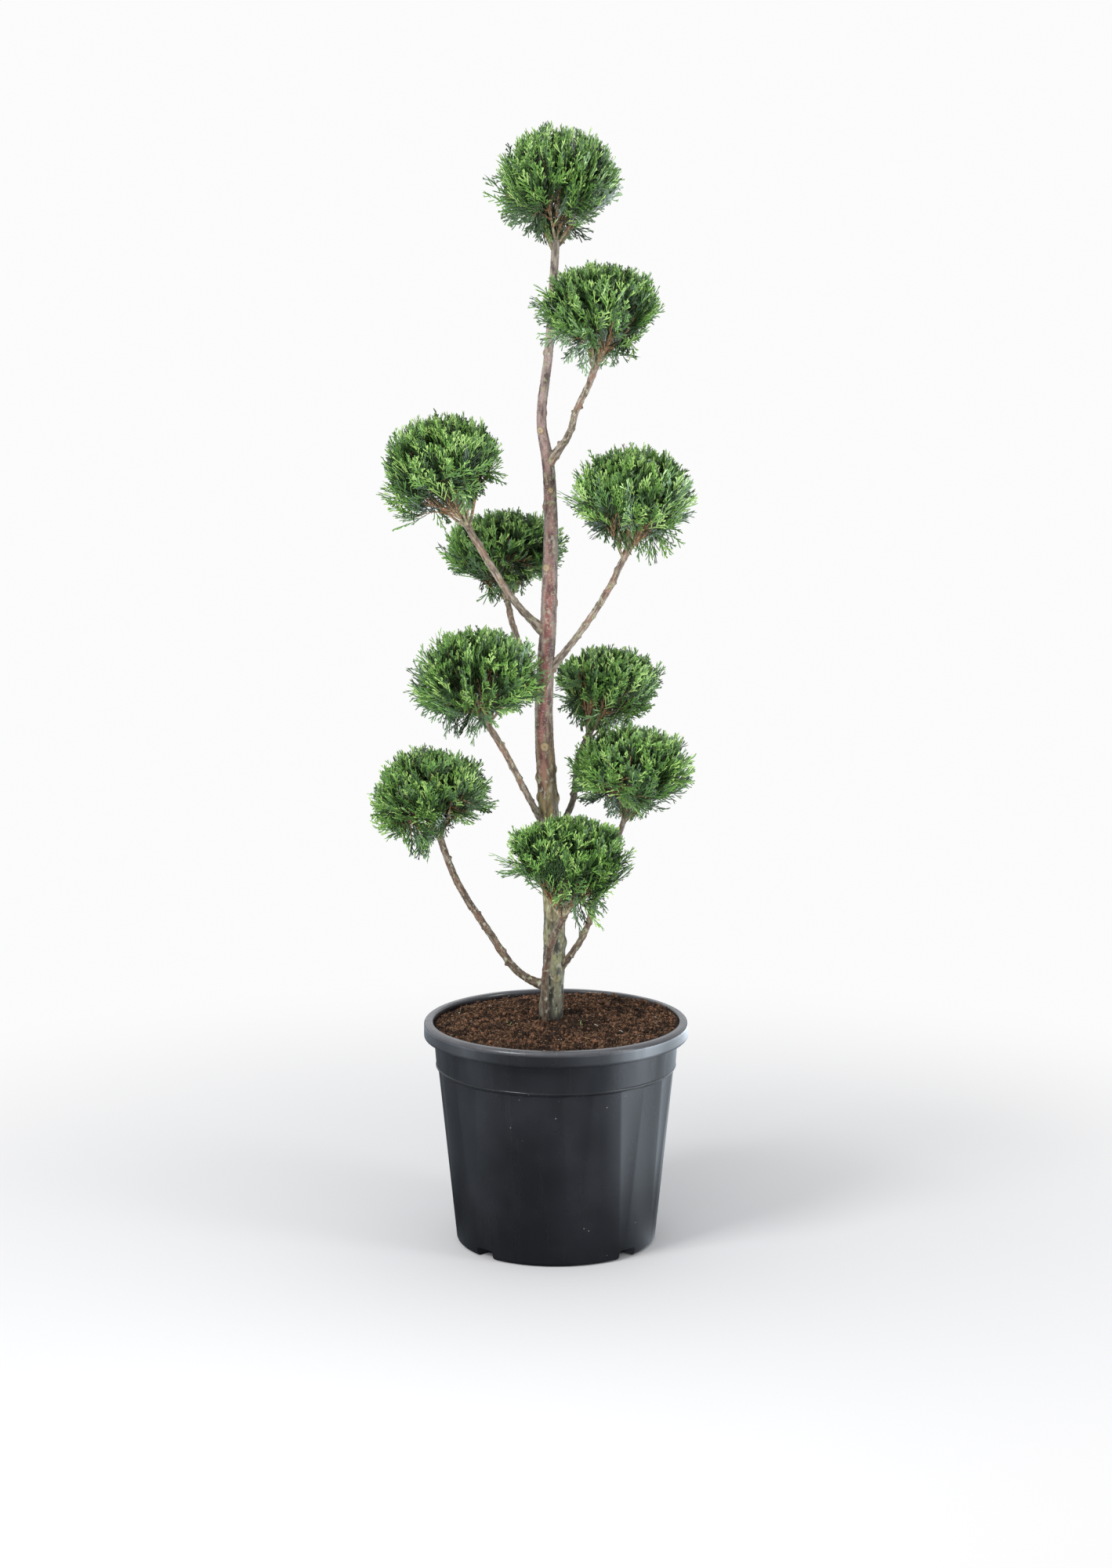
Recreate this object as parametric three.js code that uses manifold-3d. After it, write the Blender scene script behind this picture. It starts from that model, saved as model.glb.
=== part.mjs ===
// A Leyland cypress trained as a pompon tree, in a round black nursery pot, 1.48 m tall.
// One leaning trunk carries ten clipped balls of foliage: one on its tip, and nine on boughs.
// Millimetres, +Z up. The front faces -Y, and +X is to the right of someone who looks at it.
// The origin is the centre of the pot's flat underside.
import * as THREE from 'three';
import { mergeVertices } from 'three/addons/utils/BufferGeometryUtils.js';
import Module from 'manifold-3d';

const wasm = await Module();
wasm.setup();

// Driving dimensions of the pot, as heights, radii and thicknesses
const potHeight = 303;
const rimRadius = 176.5;
const rimBottom = 282;
const rimWall = 2.6;
const rimRounding = 5;
const mouthRadius = 165;
const mouthBevel = 1;
const bandTopRadius = 163.4;
const bandBottom = 241;
const bandBottomRadius = 160.2;
const ledgeHeight = 3;
const stepRadius = 157.6;
const footRadius = 134;
const footRounding = 7;
const wall = 2.6;
const floorThickness = 3;
const potSides = 40;
const notchCount = 4;
const notchWidth = 30;
const notchHeight = 13;
const notchInnerRadius = 112;

// Driving dimensions of the soil: level round the trunk, and lower and uneven towards the wall
const gap = 0.3;
const soilLevel = 303;
const soilSides = 28;
const seatRadius = 44;
const shoulderShare = 0.75;
const soilAtWall = 297;
const soilSlope = 3;
const soilUnevenness = 1.5;
const soilWaves = [
  { count: 2, share: 0.6, phase: 0.6 },
  { count: 5, share: 0.4, phase: 0 },
];

// The trunk, bottom to top: height, offset to the right, offset to the back, and radius
const trunkStations = [
  { height: 290, right: -6, back: 12, radius: 15.5 },
  { height: 322, right: -5, back: 11, radius: 14.4 },
  { height: 416, right: -2, back: 7, radius: 14.5 },
  { height: 573, right: -9, back: 1, radius: 13.1 },
  { height: 719, right: -16, back: -2, radius: 11.9 },
  { height: 866, right: -9, back: 0, radius: 10.4 },
  { height: 1012, right: -8, back: 3, radius: 8.5 },
  { height: 1052, right: -11, back: 3, radius: 7.9 },
  { height: 1091, right: -18, back: 1, radius: 6.5 },
  { height: 1194, right: -9, back: -2, radius: 5.8 },
  { height: 1335, right: 0, back: 0, radius: 5.1 },
];
const trunkSides = 12;
const trunkSteps = 23;

// Each bough: the height on the trunk where it starts, the points that it runs through to its tip,
// and its radius at both ends. The lower front one starts in the soil beside the trunk instead.
const boughs = {
  lower_left: {
    from: 342,
    through: [[-44, 0, 363], [-90, 3, 423], [-135, 6, 497], [-157, 10, 557]],
    radii: [5.3, 4.4],
  },
  lower_front: {
    from: null,
    through: [[-14, -8, 290], [-14, -25, 369], [-5, -60, 424], [11, -95, 467]],
    radii: [4.9, 4.4],
  },
  lower_right: {
    from: 358,
    through: [[35, -6, 417], [59, -8, 491], [94, -5, 586]],
    radii: [4.4, 3.7],
  },
  middle_back_right: {
    from: 545,
    through: [[21, 40, 588], [31, 80, 647], [46, 105, 675]],
    radii: [4.3, 3.8],
  },
  middle_left: {
    from: 552,
    through: [[-41, -25, 619], [-65, -45, 670], [-94, -60, 721]],
    radii: [4.4, 4.1],
  },
  middle_back_left: {
    from: 725,
    through: [[-45, 55, 790], [-61, 92, 835], [-66, 115, 859]],
    radii: [4.3, 3.9],
  },
  upper_right: {
    from: 768,
    through: [[27, -8, 820], [64, -16, 876], [94, -25, 937]],
    radii: [4.5, 4.2],
  },
  upper_left: {
    from: 822,
    through: [[-47, -14, 859], [-91, -28, 927], [-120, -35, 978]],
    radii: [5, 4.4],
  },
  upper_front: {
    from: 1046,
    through: [[17, -12, 1086], [26, -28, 1117], [42, -46, 1152], [52, -62, 1180]],
    radii: [4.5, 4.1],
  },
};
const boughSides = 7;
const boughSteps = 8;

// Each ball of foliage: the middle of its widest level, its half width, its height above that level
// (crown) and below it (skirt), and the share by which the skirt hangs lower on the left
const balls = {
  lower_left: {
    middle: [-167, 15, 601], halfWidth: 80,
    crown: 68, skirt: 56, sag: 0.35, seed: 11,
  },
  lower_front: {
    middle: [14, -112, 544], halfWidth: 84,
    crown: 57, skirt: 66, sag: -0.45, seed: 23,
  },
  lower_right: {
    middle: [99, -5, 645], halfWidth: 80,
    crown: 56, skirt: 59, sag: 0, seed: 31,
  },
  middle_back_right: {
    middle: [69, 115, 741], halfWidth: 74,
    crown: 49, skirt: 63, sag: 0, seed: 43,
  },
  middle_left: {
    middle: [-99, -70, 777], halfWidth: 86,
    crown: 64, skirt: 66, sag: 0.2, seed: 59,
  },
  middle_back_left: {
    middle: [-69, 130, 918], halfWidth: 80,
    crown: 54, skirt: 62, sag: 0.15, seed: 61,
  },
  upper_right: {
    middle: [99, -30, 1005], halfWidth: 83,
    crown: 70, skirt: 67, sag: -0.15, seed: 73,
  },
  upper_left: {
    middle: [-146, -45, 1048], halfWidth: 80,
    crown: 68, skirt: 78, sag: 0.35, seed: 83,
  },
  upper_front: {
    middle: [58, -75, 1250], halfWidth: 80,
    crown: 58, skirt: 70, sag: 0.1, seed: 97,
  },
  top: {
    middle: [4, 0, 1399], halfWidth: 82,
    crown: 82, skirt: 62, sag: 0, seed: 101,
  },
};
const crownPower = 2;
const skirtPower = 1.6;

// The growth inside a ball, as shares of its own size
const growthShare = 0.4;
const coreShare = 0.84;
const coreLumps = 0.07;
const lumpRates = { x: 5, y: 4, z: 3 };
const sprayCount = 36;
const lowestSpray = -0.8;
const sprayTurn = 0.5;
const sprayRoot = 0.5;
const deepestRoot = 0.62;
const sprayWidth = 0.72;
const sprayThickness = 0.09;
const shortestTip = 1;
const longestTip = 1.1;
// The ball's stem runs on from the bough before it bends to the middle. Bare twigs leave it low down.
const stem = { lead: 12, tipRadius: 2.4, sides: 6, steps: 4 };
const twig = {
  count: 6, reach: 0.86, sag: 3, starts: [0.12, 0.42], levels: [-0.75, -0.15],
  radii: [2.1, 1.2], sides: 3, steps: 2,
};
// The room that foliage leaves round a limb, which is tested at points along it
const limbClearance = 3;
const trunkTests = 160;
const boughTests = 30;
// Half of the toothed outline of a spray, from its root to its tip, as shares of its length and width
const sprayTeeth = [
  [0.8, 0.5],
  [0.76, 0.18],
];
const sprayHub = 0.45;
const goldenAngle = Math.PI * (3 - Math.sqrt(5));

const plastic = new THREE.MeshStandardMaterial({ color: 0x26282c, roughness: 0.42, metalness: 0 });
const peat = new THREE.MeshStandardMaterial({ color: 0x4f3020, roughness: 0.95, metalness: 0 });
const bark = new THREE.MeshStandardMaterial({ color: 0x86705f, roughness: 0.85, metalness: 0 });
const foliage = new THREE.MeshStandardMaterial({ color: 0x3c6b32, roughness: 0.75, metalness: 0 });

// Geometry with shared vertices, as a solid that can be joined and cut
function toSolid(geometry) {
  const bare = geometry.clone();
  bare.deleteAttribute('normal');
  bare.deleteAttribute('uv');
  const merged = mergeVertices(bare, 1e-4);
  return new wasm.Manifold(new wasm.Mesh({
    numProp: 3,
    vertProperties: merged.attributes.position.array,
    triVerts: merged.index.array,
  }));
}

// A solid as a named mesh
function toMesh(name, solid, material) {
  const { vertProperties, triVerts } = solid.getMesh();
  const geometry = new THREE.BufferGeometry();
  geometry.setAttribute('position', new THREE.BufferAttribute(vertProperties, 3));
  geometry.setIndex(new THREE.BufferAttribute(triVerts, 1));
  geometry.computeVertexNormals();
  const mesh = new THREE.Mesh(geometry, material);
  mesh.name = name;
  return mesh;
}

// Numbers from 0 to 1 that repeat for a seed
function seeded(seed) {
  let state = seed >>> 0;
  return () => {
    state = (Math.imul(state, 1664525) + 1013904223) >>> 0;
    return state / 2 ** 32;
  };
}

// A closed limb along a curve: a cylinder whose rings are moved onto the curve and scaled to its taper
function limb(curve, radiusAt, sides, steps) {
  const geometry = new THREE.CylinderGeometry(1, 1, 1, sides, steps);
  const { normals, binormals } = curve.computeFrenetFrames(steps, false);
  const position = geometry.attributes.position;
  for (let i = 0; i < position.count; i++) {
    const ring = Math.round((position.getY(i) + 0.5) * steps);
    const centre = curve.getPointAt(ring / steps);
    const radius = radiusAt(ring / steps, centre);
    centre.addScaledVector(normals[ring], position.getX(i) * radius);
    centre.addScaledVector(binormals[ring], -position.getZ(i) * radius);
    position.setXYZ(i, centre.x, centre.y, centre.z);
  }
  return toSolid(geometry);
}

// A round solid from a profile of radii and heights, from its axis out and back to it. Its points
// above a height can be moved up or down.
function turned(profile, sides, from = Infinity, rise = null) {
  const points = profile.map(([radius, height]) => new THREE.Vector2(radius, height));
  const geometry = new THREE.LatheGeometry(points, sides).rotateX(Math.PI / 2);
  const position = geometry.attributes.position;
  for (let i = 0; i < position.count; i++) {
    const [x, y, z] = [position.getX(i), position.getY(i), position.getZ(i)];
    if (z > from) position.setZ(i, z + rise(x, y));
  }
  return toSolid(geometry);
}

// Blocks at the four drain notches in the pot's foot, grown by a margin
function notchSolid(margin) {
  const length = 2 * (footRadius - notchInnerRadius + margin);
  const blocks = [];
  for (let i = 0; i < notchCount; i++) {
    const block = new THREE.BoxGeometry(length, notchWidth + 2 * margin, 2 * (notchHeight + margin));
    block.translate(footRadius, 0, 0);
    block.rotateZ(((i + 0.5) / notchCount) * 2 * Math.PI);
    blocks.push(toSolid(block));
  }
  return wasm.Manifold.union(blocks);
}

// The pot: a foot, a tapering side, a band under the rim, and a rolled rim that is open below.
// Its wall runs round the inside of the notches too.
function potSolid() {
  const rimMiddle = (rimRadius + mouthRadius) / 2;
  const outside = [
    [0, 0],
    [footRadius - footRounding, 0],
    [footRadius - footRounding * 0.3, footRounding * 0.3],
    [footRadius, footRounding],
    [stepRadius, bandBottom - ledgeHeight],
    [bandBottomRadius, bandBottom],
    [bandTopRadius, rimBottom],
    [mouthRadius - mouthBevel + wall, potHeight - 2 * rimWall],
    [rimRadius - rimWall, potHeight - 2 * rimWall],
    [rimRadius - rimWall, rimBottom],
    [rimRadius, rimBottom],
    [rimRadius, potHeight - rimRounding],
    [rimRadius - rimRounding / 2, potHeight - mouthBevel],
    [rimMiddle, potHeight],
    [0, potHeight],
  ];
  const inside = [
    [0, floorThickness],
    [footRadius - wall - footRounding / 2, floorThickness],
    [footRadius - wall, footRounding],
    [stepRadius - wall, bandBottom - ledgeHeight],
    [bandTopRadius - wall, rimBottom],
    [mouthRadius - mouthBevel, potHeight - rimRounding],
    [mouthRadius + mouthBevel, potHeight - mouthBevel],
    [rimMiddle, potHeight],
    [rimMiddle, potHeight + wall],
    [0, potHeight + wall],
  ];
  const hollow = turned(inside, potSides).subtract(notchSolid(wall));
  return turned(outside, potSides).subtract(hollow).subtract(notchSolid(0));
}

// The peat that fills the pot: it is level round the trunk, and elsewhere slopes and waves
function soilSolid() {
  const inscribed = (radius) => radius * Math.cos(Math.PI / potSides) - wall - gap;
  const edge = inscribed(bandTopRadius);
  const profile = [
    [0, floorThickness + gap],
    [inscribed(footRadius) - footRounding / 2, floorThickness + gap],
    [inscribed(footRadius), footRounding + gap],
    [inscribed(stepRadius), bandBottom - ledgeHeight],
    [edge, rimBottom + gap],
    [edge, soilAtWall],
    [edge * shoulderShare, (soilAtWall + soilLevel) / 2],
    [seatRadius, soilLevel - gap],
    [0, soilLevel - gap],
  ];
  const rise = (x, y) => {
    if (Math.hypot(x, y) < seatRadius + gap) return 0;
    const angle = Math.atan2(y, x);
    let wave = 0;
    for (const { count, share, phase } of soilWaves) wave += share * Math.sin(count * angle + phase);
    return (soilSlope * x) / edge + soilUnevenness * wave;
  };
  return turned(profile, soilSides, soilAtWall - gap, rise).subtract(notchSolid(wall + gap));
}

// The trunk's axis and its radius at a height
const trunkCurve = new THREE.CatmullRomCurve3(
  trunkStations.map(({ height, right, back }) => new THREE.Vector3(right, back, height)),
);
function trunkRadius(height) {
  const high = trunkStations.slice(1).find((station) => station.height >= height) ?? trunkStations.at(-1);
  const low = trunkStations[trunkStations.indexOf(high) - 1];
  const share = (height - low.height) / (high.height - low.height);
  return THREE.MathUtils.lerp(low.radius, high.radius, share);
}
function trunkSolid(margin) {
  const radiusAt = (share, centre) => trunkRadius(centre.z) + margin;
  return limb(trunkCurve, radiusAt, trunkSides, trunkSteps).trimByPlane([0, 0, 1], soilLevel);
}
function trunkPointAt(height) {
  const points = trunkCurve.getSpacedPoints(trunkTests);
  const above = points.findIndex((point) => point.z >= height);
  const [low, high] = [points[above - 1], points[above]];
  return low.clone().lerp(high, (height - low.z) / (high.z - low.z));
}

// A bough's axis runs from the trunk's axis, or from the soil beside the trunk, to its tip
function boughCurve({ from, through }) {
  const points = through.map((point) => new THREE.Vector3(...point));
  if (from !== null) points.unshift(trunkPointAt(from));
  return new THREE.CatmullRomCurve3(points);
}
function boughSolid(curve, radii, grownTrunk) {
  const whole = limb(curve, (share) => THREE.MathUtils.lerp(...radii, share), boughSides, boughSteps);
  return whole.subtract(grownTrunk).trimByPlane([0, 0, 1], soilLevel);
}

// Points with radii along every limb, which foliage has to miss
function limbPoints(curve, radiusAt, count) {
  const points = [];
  for (let i = 0; i <= count; i++) {
    const at = curve.getPointAt(i / count);
    points.push({ at, radius: radiusAt(i / count, at) });
  }
  return points;
}

// How far out a point lies in a ball: 0 in its middle, 1 on its outline
function shareOf(ball, offset) {
  const flat = Math.hypot(offset.x, offset.y);
  const isCrown = offset.z > 0;
  const leftward = flat > 0 ? -offset.x / flat : 0;
  const height = isCrown ? ball.crown : ball.skirt * (1 + ball.sag * leftward);
  const power = isCrown ? crownPower : skirtPower;
  return ((flat / ball.halfWidth) ** power + (Math.abs(offset.z) / height) ** power) ** (1 / power);
}
function pointOf(ball, direction, share) {
  return direction.clone().multiplyScalar(share / shareOf(ball, direction)).add(ball.centre);
}
function isInside(ball, point) {
  return shareOf(ball, point.clone().sub(ball.centre)) < longestTip;
}

// A flat spray of foliage: a toothed outline round a ridge on each of its two faces
function spray(root, tip, side, width, thickness) {
  const axis = tip.clone().sub(root);
  const across = side.clone().multiplyScalar(width);
  const through = new THREE.Vector3().crossVectors(axis, side).setLength(thickness / 2);
  const at = (along, off) => root.clone().addScaledVector(axis, along).addScaledVector(across, off);
  const left = sprayTeeth.map(([along, off]) => at(along, off));
  const right = sprayTeeth.map(([along, off]) => at(along, -off)).reverse();
  const outline = [root, ...left, tip, ...right];
  const front = at(sprayHub, 0).add(through);
  const back = at(sprayHub, 0).sub(through);
  const corners = outline.flatMap((point, i) => {
    const next = outline[(i + 1) % outline.length];
    return [front, next, point, back, point, next];
  });
  return { solid: toSolid(new THREE.BufferGeometry().setFromPoints(corners)), outline };
}

// The stem of a ball with its fan of bare twigs, its lumpy core, and the sprays that stand out of it.
// What the union leaves loose is dropped.
function ballSolid(ball, obstacles, others) {
  const random = seeded(ball.seed);
  const { anchor, heading, centre } = ball;
  const parts = [];

  const stemFoot = anchor.clone().addScaledVector(heading, gap);
  const stemBend = stemFoot.clone().addScaledVector(heading, stem.lead);
  const stemCurve = new THREE.QuadraticBezierCurve3(stemFoot, stemBend, centre);
  const stemTaper = (share) => THREE.MathUtils.lerp(ball.stemRadius, stem.tipRadius, share);
  parts.push(limb(stemCurve, stemTaper, stem.sides, stem.steps));

  const core = new THREE.IcosahedronGeometry(1, 0);
  const corners = core.attributes.position;
  const direction = new THREE.Vector3();
  for (let i = 0; i < corners.count; i++) {
    direction.fromBufferAttribute(corners, i);
    const swell = Math.cos(direction.y * lumpRates.y + direction.z * lumpRates.z);
    const lump = Math.sin(direction.x * lumpRates.x + ball.seed) * swell;
    const point = pointOf(ball, direction, coreShare * (1 + coreLumps * lump));
    corners.setXYZ(i, point.x, point.y, point.z);
  }
  parts.push(toSolid(core));

  for (let i = 0; i < twig.count; i++) {
    const turn = i * goldenAngle + random();
    direction.set(Math.cos(turn), Math.sin(turn), THREE.MathUtils.lerp(...twig.levels, random()));
    const end = pointOf(ball, direction.normalize(), twig.reach);
    const start = stemCurve.getPointAt(THREE.MathUtils.lerp(...twig.starts, random()));
    const bend = start.clone().lerp(end, 0.5);
    bend.z -= twig.sag;
    const twigCurve = new THREE.QuadraticBezierCurve3(start, bend, end);
    const twigTaper = (share) => THREE.MathUtils.lerp(...twig.radii, share);
    if (isClear([bend, end], obstacles, others)) {
      parts.push(limb(twigCurve, twigTaper, twig.sides, twig.steps));
    }
  }

  const growth = anchor.clone().lerp(centre, growthShare);
  for (let i = 0; i < sprayCount; i++) {
    const level = THREE.MathUtils.lerp(1, lowestSpray, (i + 0.5) / sprayCount);
    const turn = i * goldenAngle + sprayTurn * random();
    const flat = Math.sqrt(1 - level * level);
    direction.set(flat * Math.cos(turn), flat * Math.sin(turn), level);
    const tip = pointOf(ball, direction, THREE.MathUtils.lerp(shortestTip, longestTip, random()));
    const root = growth.clone().lerp(tip, sprayRoot);
    const depth = shareOf(ball, root.clone().sub(centre));
    root.lerp(centre, Math.max(0, 1 - deepestRoot / depth));
    const axis = tip.clone().sub(root);
    const side = new THREE.Vector3(0, 0, 1).cross(axis).normalize();
    side.applyAxisAngle(axis.clone().normalize(), (random() - 0.5) * Math.PI);
    const length = axis.length();
    const { solid, outline } = spray(root, tip, side, sprayWidth * length, sprayThickness * length);
    if (isClear(outline, obstacles, others)) parts.push(solid);
  }
  const pieces = wasm.Manifold.union(parts).decompose();
  return pieces.sort((a, b) => b.volume() - a.volume())[0];
}

// Whether points, and the middles between them, miss all limbs and the other balls
function isClear(points, obstacles, others) {
  const middles = points.slice(1).map((point, i) => point.clone().lerp(points[i], 0.5));
  return [...points, ...middles].every((point) =>
    obstacles.every(({ at, radius }) => at.distanceTo(point) > radius + limbClearance)
    && others.every((other) => !isInside(other, point)));
}

// Put together
const plant = new THREE.Group();
plant.add(toMesh('pot', potSolid(), plastic), toMesh('soil', soilSolid(), peat));
plant.add(toMesh('trunk', trunkSolid(0), bark));

const grownTrunk = trunkSolid(gap);
const obstacles = limbPoints(trunkCurve, (share, at) => trunkRadius(at.z), trunkTests);
for (const [name, bough] of Object.entries(boughs)) {
  const curve = boughCurve(bough);
  plant.add(toMesh(`bough_${name}`, boughSolid(curve, bough.radii, grownTrunk), bark));
  const [anchor, heading] = [curve.getPointAt(1), curve.getTangentAt(1)];
  Object.assign(balls[name], { anchor, heading, stemRadius: bough.radii[1] });
  obstacles.push(...limbPoints(curve, () => bough.radii[0], boughTests));
}
const [anchor, heading] = [trunkCurve.getPointAt(1), trunkCurve.getTangentAt(1)];
Object.assign(balls.top, { anchor, heading, stemRadius: trunkStations.at(-1).radius });
for (const ball of Object.values(balls)) ball.centre = new THREE.Vector3(...ball.middle);
for (const [name, ball] of Object.entries(balls)) {
  const others = Object.values(balls).filter((other) => other !== ball);
  plant.add(toMesh(`foliage_${name}`, ballSolid(ball, obstacles, others), foliage));
}

export default plant;
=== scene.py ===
# A Leyland cypress trained as a pompon tree, 1.48 m tall, in a round black nursery pot of 20 litres.
# Metres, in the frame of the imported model: the origin is the centre of the pot's flat underside, +Z is
# up, +X is to the right in the photograph, and -Y is towards the viewer.
import math

import bmesh
import bpy
import numpy as np
from mathutils import Matrix, Vector


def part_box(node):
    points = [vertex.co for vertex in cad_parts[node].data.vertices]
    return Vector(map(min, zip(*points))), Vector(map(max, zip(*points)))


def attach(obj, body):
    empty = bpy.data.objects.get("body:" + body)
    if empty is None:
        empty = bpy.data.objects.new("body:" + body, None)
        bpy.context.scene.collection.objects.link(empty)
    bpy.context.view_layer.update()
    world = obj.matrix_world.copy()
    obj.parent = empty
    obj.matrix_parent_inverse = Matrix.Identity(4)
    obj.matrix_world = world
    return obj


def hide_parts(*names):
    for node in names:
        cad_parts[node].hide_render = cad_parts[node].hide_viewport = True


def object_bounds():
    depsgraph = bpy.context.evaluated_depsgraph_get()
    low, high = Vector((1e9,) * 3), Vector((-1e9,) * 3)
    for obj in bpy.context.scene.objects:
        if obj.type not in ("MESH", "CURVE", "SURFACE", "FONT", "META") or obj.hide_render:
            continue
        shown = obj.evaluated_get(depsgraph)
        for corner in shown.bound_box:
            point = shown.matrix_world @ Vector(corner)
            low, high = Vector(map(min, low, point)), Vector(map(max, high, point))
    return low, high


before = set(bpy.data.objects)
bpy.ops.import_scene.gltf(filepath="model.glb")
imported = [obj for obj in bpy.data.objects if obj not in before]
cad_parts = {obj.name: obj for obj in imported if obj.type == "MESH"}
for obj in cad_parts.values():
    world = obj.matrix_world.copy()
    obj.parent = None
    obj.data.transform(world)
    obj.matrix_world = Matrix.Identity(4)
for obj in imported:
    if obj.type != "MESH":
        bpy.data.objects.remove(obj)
cad_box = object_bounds()
mm = 0.001

# The camera stands where the photograph's did: 4.75 m in front of the pot and 1.51 m up, looking down
# a little. It is meant for a frame of 1419 by 2000, whose long side is 36 mm of sensor.
camera_data = bpy.data.cameras.new("camera")
camera_data.lens = 83.99
camera_data.sensor_width = 36
camera = bpy.data.objects.new("camera", camera_data)
camera.location = (0, -4.75, 1.511)
camera.rotation_euler = (math.radians(90 - 10.592), 0, 0)
bpy.context.scene.collection.objects.link(camera)
bpy.context.scene.camera = camera
bpy.context.scene.view_settings.view_transform = "Standard"

# The studio: a plain pale floor that runs out into white, a surround that is brighter behind the plant
# than in front of it, and softboxes at the upper left, at the right, overhead, in front and low down.
floor_radius = 30
pale_grey, surround_white = (0.6, 0.6, 0.61, 1), (0.97, 0.97, 0.97, 1)
sky_tint, mirror_tint = (0.96, 0.98, 1, 1), (0.8, 0.9, 1, 1)
front_light, back_light = 0.62, 1.0
card_strength = 5.1
plant_middle = Vector((0, 0, 0.75))


def add_node(tree, kind, inputs=(), **settings):
    """A node with its settings. Each input is fed by a socket or holds a plain value."""
    node = tree.nodes.new(kind)
    for name, value in settings.items():
        setattr(node, name, value)
    for socket, source in dict(inputs).items():
        if isinstance(source, bpy.types.NodeSocket):
            tree.links.new(source, node.inputs[socket])
        else:
            node.inputs[socket].default_value = source
    return node


def make_material(name, colour, roughness, more=()):
    """A material with its node tree and its Principled shader, in a plain colour."""
    material = bpy.data.materials.new(name)
    material.use_nodes = True
    shader = material.node_tree.nodes["Principled BSDF"]
    for socket, value in {"Base Color": colour, "Roughness": roughness, **dict(more)}.items():
        shader.inputs[socket].default_value = value
    return material, material.node_tree, shader


def paint(red, green, blue):
    """A plain colour from its screen values of 0 to 255."""
    screen = np.array([red, green, blue]) / 255
    linear = np.where(screen <= 0.04045, screen / 12.92, ((screen + 0.055) / 1.055) ** 2.4)
    return (*linear.tolist(), 1.0)


def add_ramp(tree, source, *stops):
    """A colour by a value, from stops that each give a position and a grey or three screen values."""
    ramp = add_node(tree, "ShaderNodeValToRGB", {"Fac": source})
    elements = ramp.color_ramp.elements
    stops = [(position, paint(*tone) if len(tone) == 3 else tone * 3 + [1]) for position, *tone in stops]
    for element, (position, colour) in zip((elements[0], elements[1]), (stops[0], stops[-1])):
        element.position, element.color = position, colour
    for position, colour in stops[1:-1]:
        elements.new(position).color = colour
    return ramp.outputs["Color"]


def add_range(tree, source, low, high, to_low=0.0, to_high=1.0, curve="LINEAR"):
    """Maps a value's range onto another, held at its ends."""
    return add_node(tree, "ShaderNodeMapRange", {
        "Value": source, "From Min": low, "From Max": high, "To Min": to_low, "To Max": to_high,
    }, interpolation_type=curve).outputs["Result"]


def add_math(tree, operation, first, second=0.0):
    """Works out a value from two."""
    return add_node(tree, "ShaderNodeMath", {0: first, 1: second}, operation=operation).outputs["Value"]


def object_place(tree):
    """Where a point is on its object."""
    return add_node(tree, "ShaderNodeTexCoord").outputs["Object"]


def parts_of(tree, vector):
    """The X, Y and Z of a vector."""
    return add_node(tree, "ShaderNodeSeparateXYZ", {"Vector": vector}).outputs


floor_shape = bmesh.new()
bmesh.ops.create_circle(floor_shape, cap_ends=True, segments=64, radius=floor_radius)
floor_mesh = bpy.data.meshes.new("floor")
floor_shape.to_mesh(floor_mesh)
floor = bpy.data.objects.new("floor", floor_mesh)
bpy.context.scene.collection.objects.link(floor)

floor_paint, tree, shader = make_material("floor_paint", pale_grey, 0.8, {"Specular IOR Level": 0.2})
place = object_place(tree)
distance = add_node(tree, "ShaderNodeVectorMath", {0: place}, operation="LENGTH").outputs["Value"]
glow = add_node(tree, "ShaderNodeEmission", {"Color": surround_white})
blend = add_node(tree, "ShaderNodeMixShader", {
    "Fac": add_range(tree, distance, 0.2, 1.5, curve="SMOOTHSTEP"),
    1: shader.outputs["BSDF"], 2: glow.outputs["Emission"],
})
# Mirrored in the pot, the floor is dark in front, brightest at the right, and dim close by and at the left
around = add_node(tree, "ShaderNodeVectorMath", {0: place}, operation="NORMALIZE").outputs["Vector"]
sides = parts_of(tree, around)
strength = add_ramp(
    tree, add_range(tree, sides["Y"], -1, 1), (0.0, 0.03), (0.035, 0.08), (0.13, 0.13), (0.19, 0.24),
    (0.3, 0.52), (0.4, 0.72), (0.5, 0.5), (0.62, 0.25), (1.0, 0.18),
)
for source, (near, far), (low, high) in [
    (sides["X"], (-0.25, 0.3), (0.2 * card_strength, card_strength)),
    (distance, (0.2, 0.5), (0.22, 0.85)), (distance, (0.9, 1.6), (1, 7)), (distance, (2.0, 2.8), (1, 0.04)),
]:
    card = add_range(tree, source, near, far, low, high, "SMOOTHSTEP")
    strength = add_math(tree, "MULTIPLY", strength, card)
mirrored = add_node(tree, "ShaderNodeEmission", {"Color": mirror_tint, "Strength": strength})
seen = add_node(tree, "ShaderNodeMixShader", {
    "Fac": add_node(tree, "ShaderNodeLightPath").outputs["Is Glossy Ray"],
    1: blend.outputs["Shader"], 2: mirrored.outputs["Emission"],
})
tree.links.new(seen.outputs["Shader"], tree.nodes["Material Output"].inputs["Surface"])
floor_mesh.materials.append(floor_paint)

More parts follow.
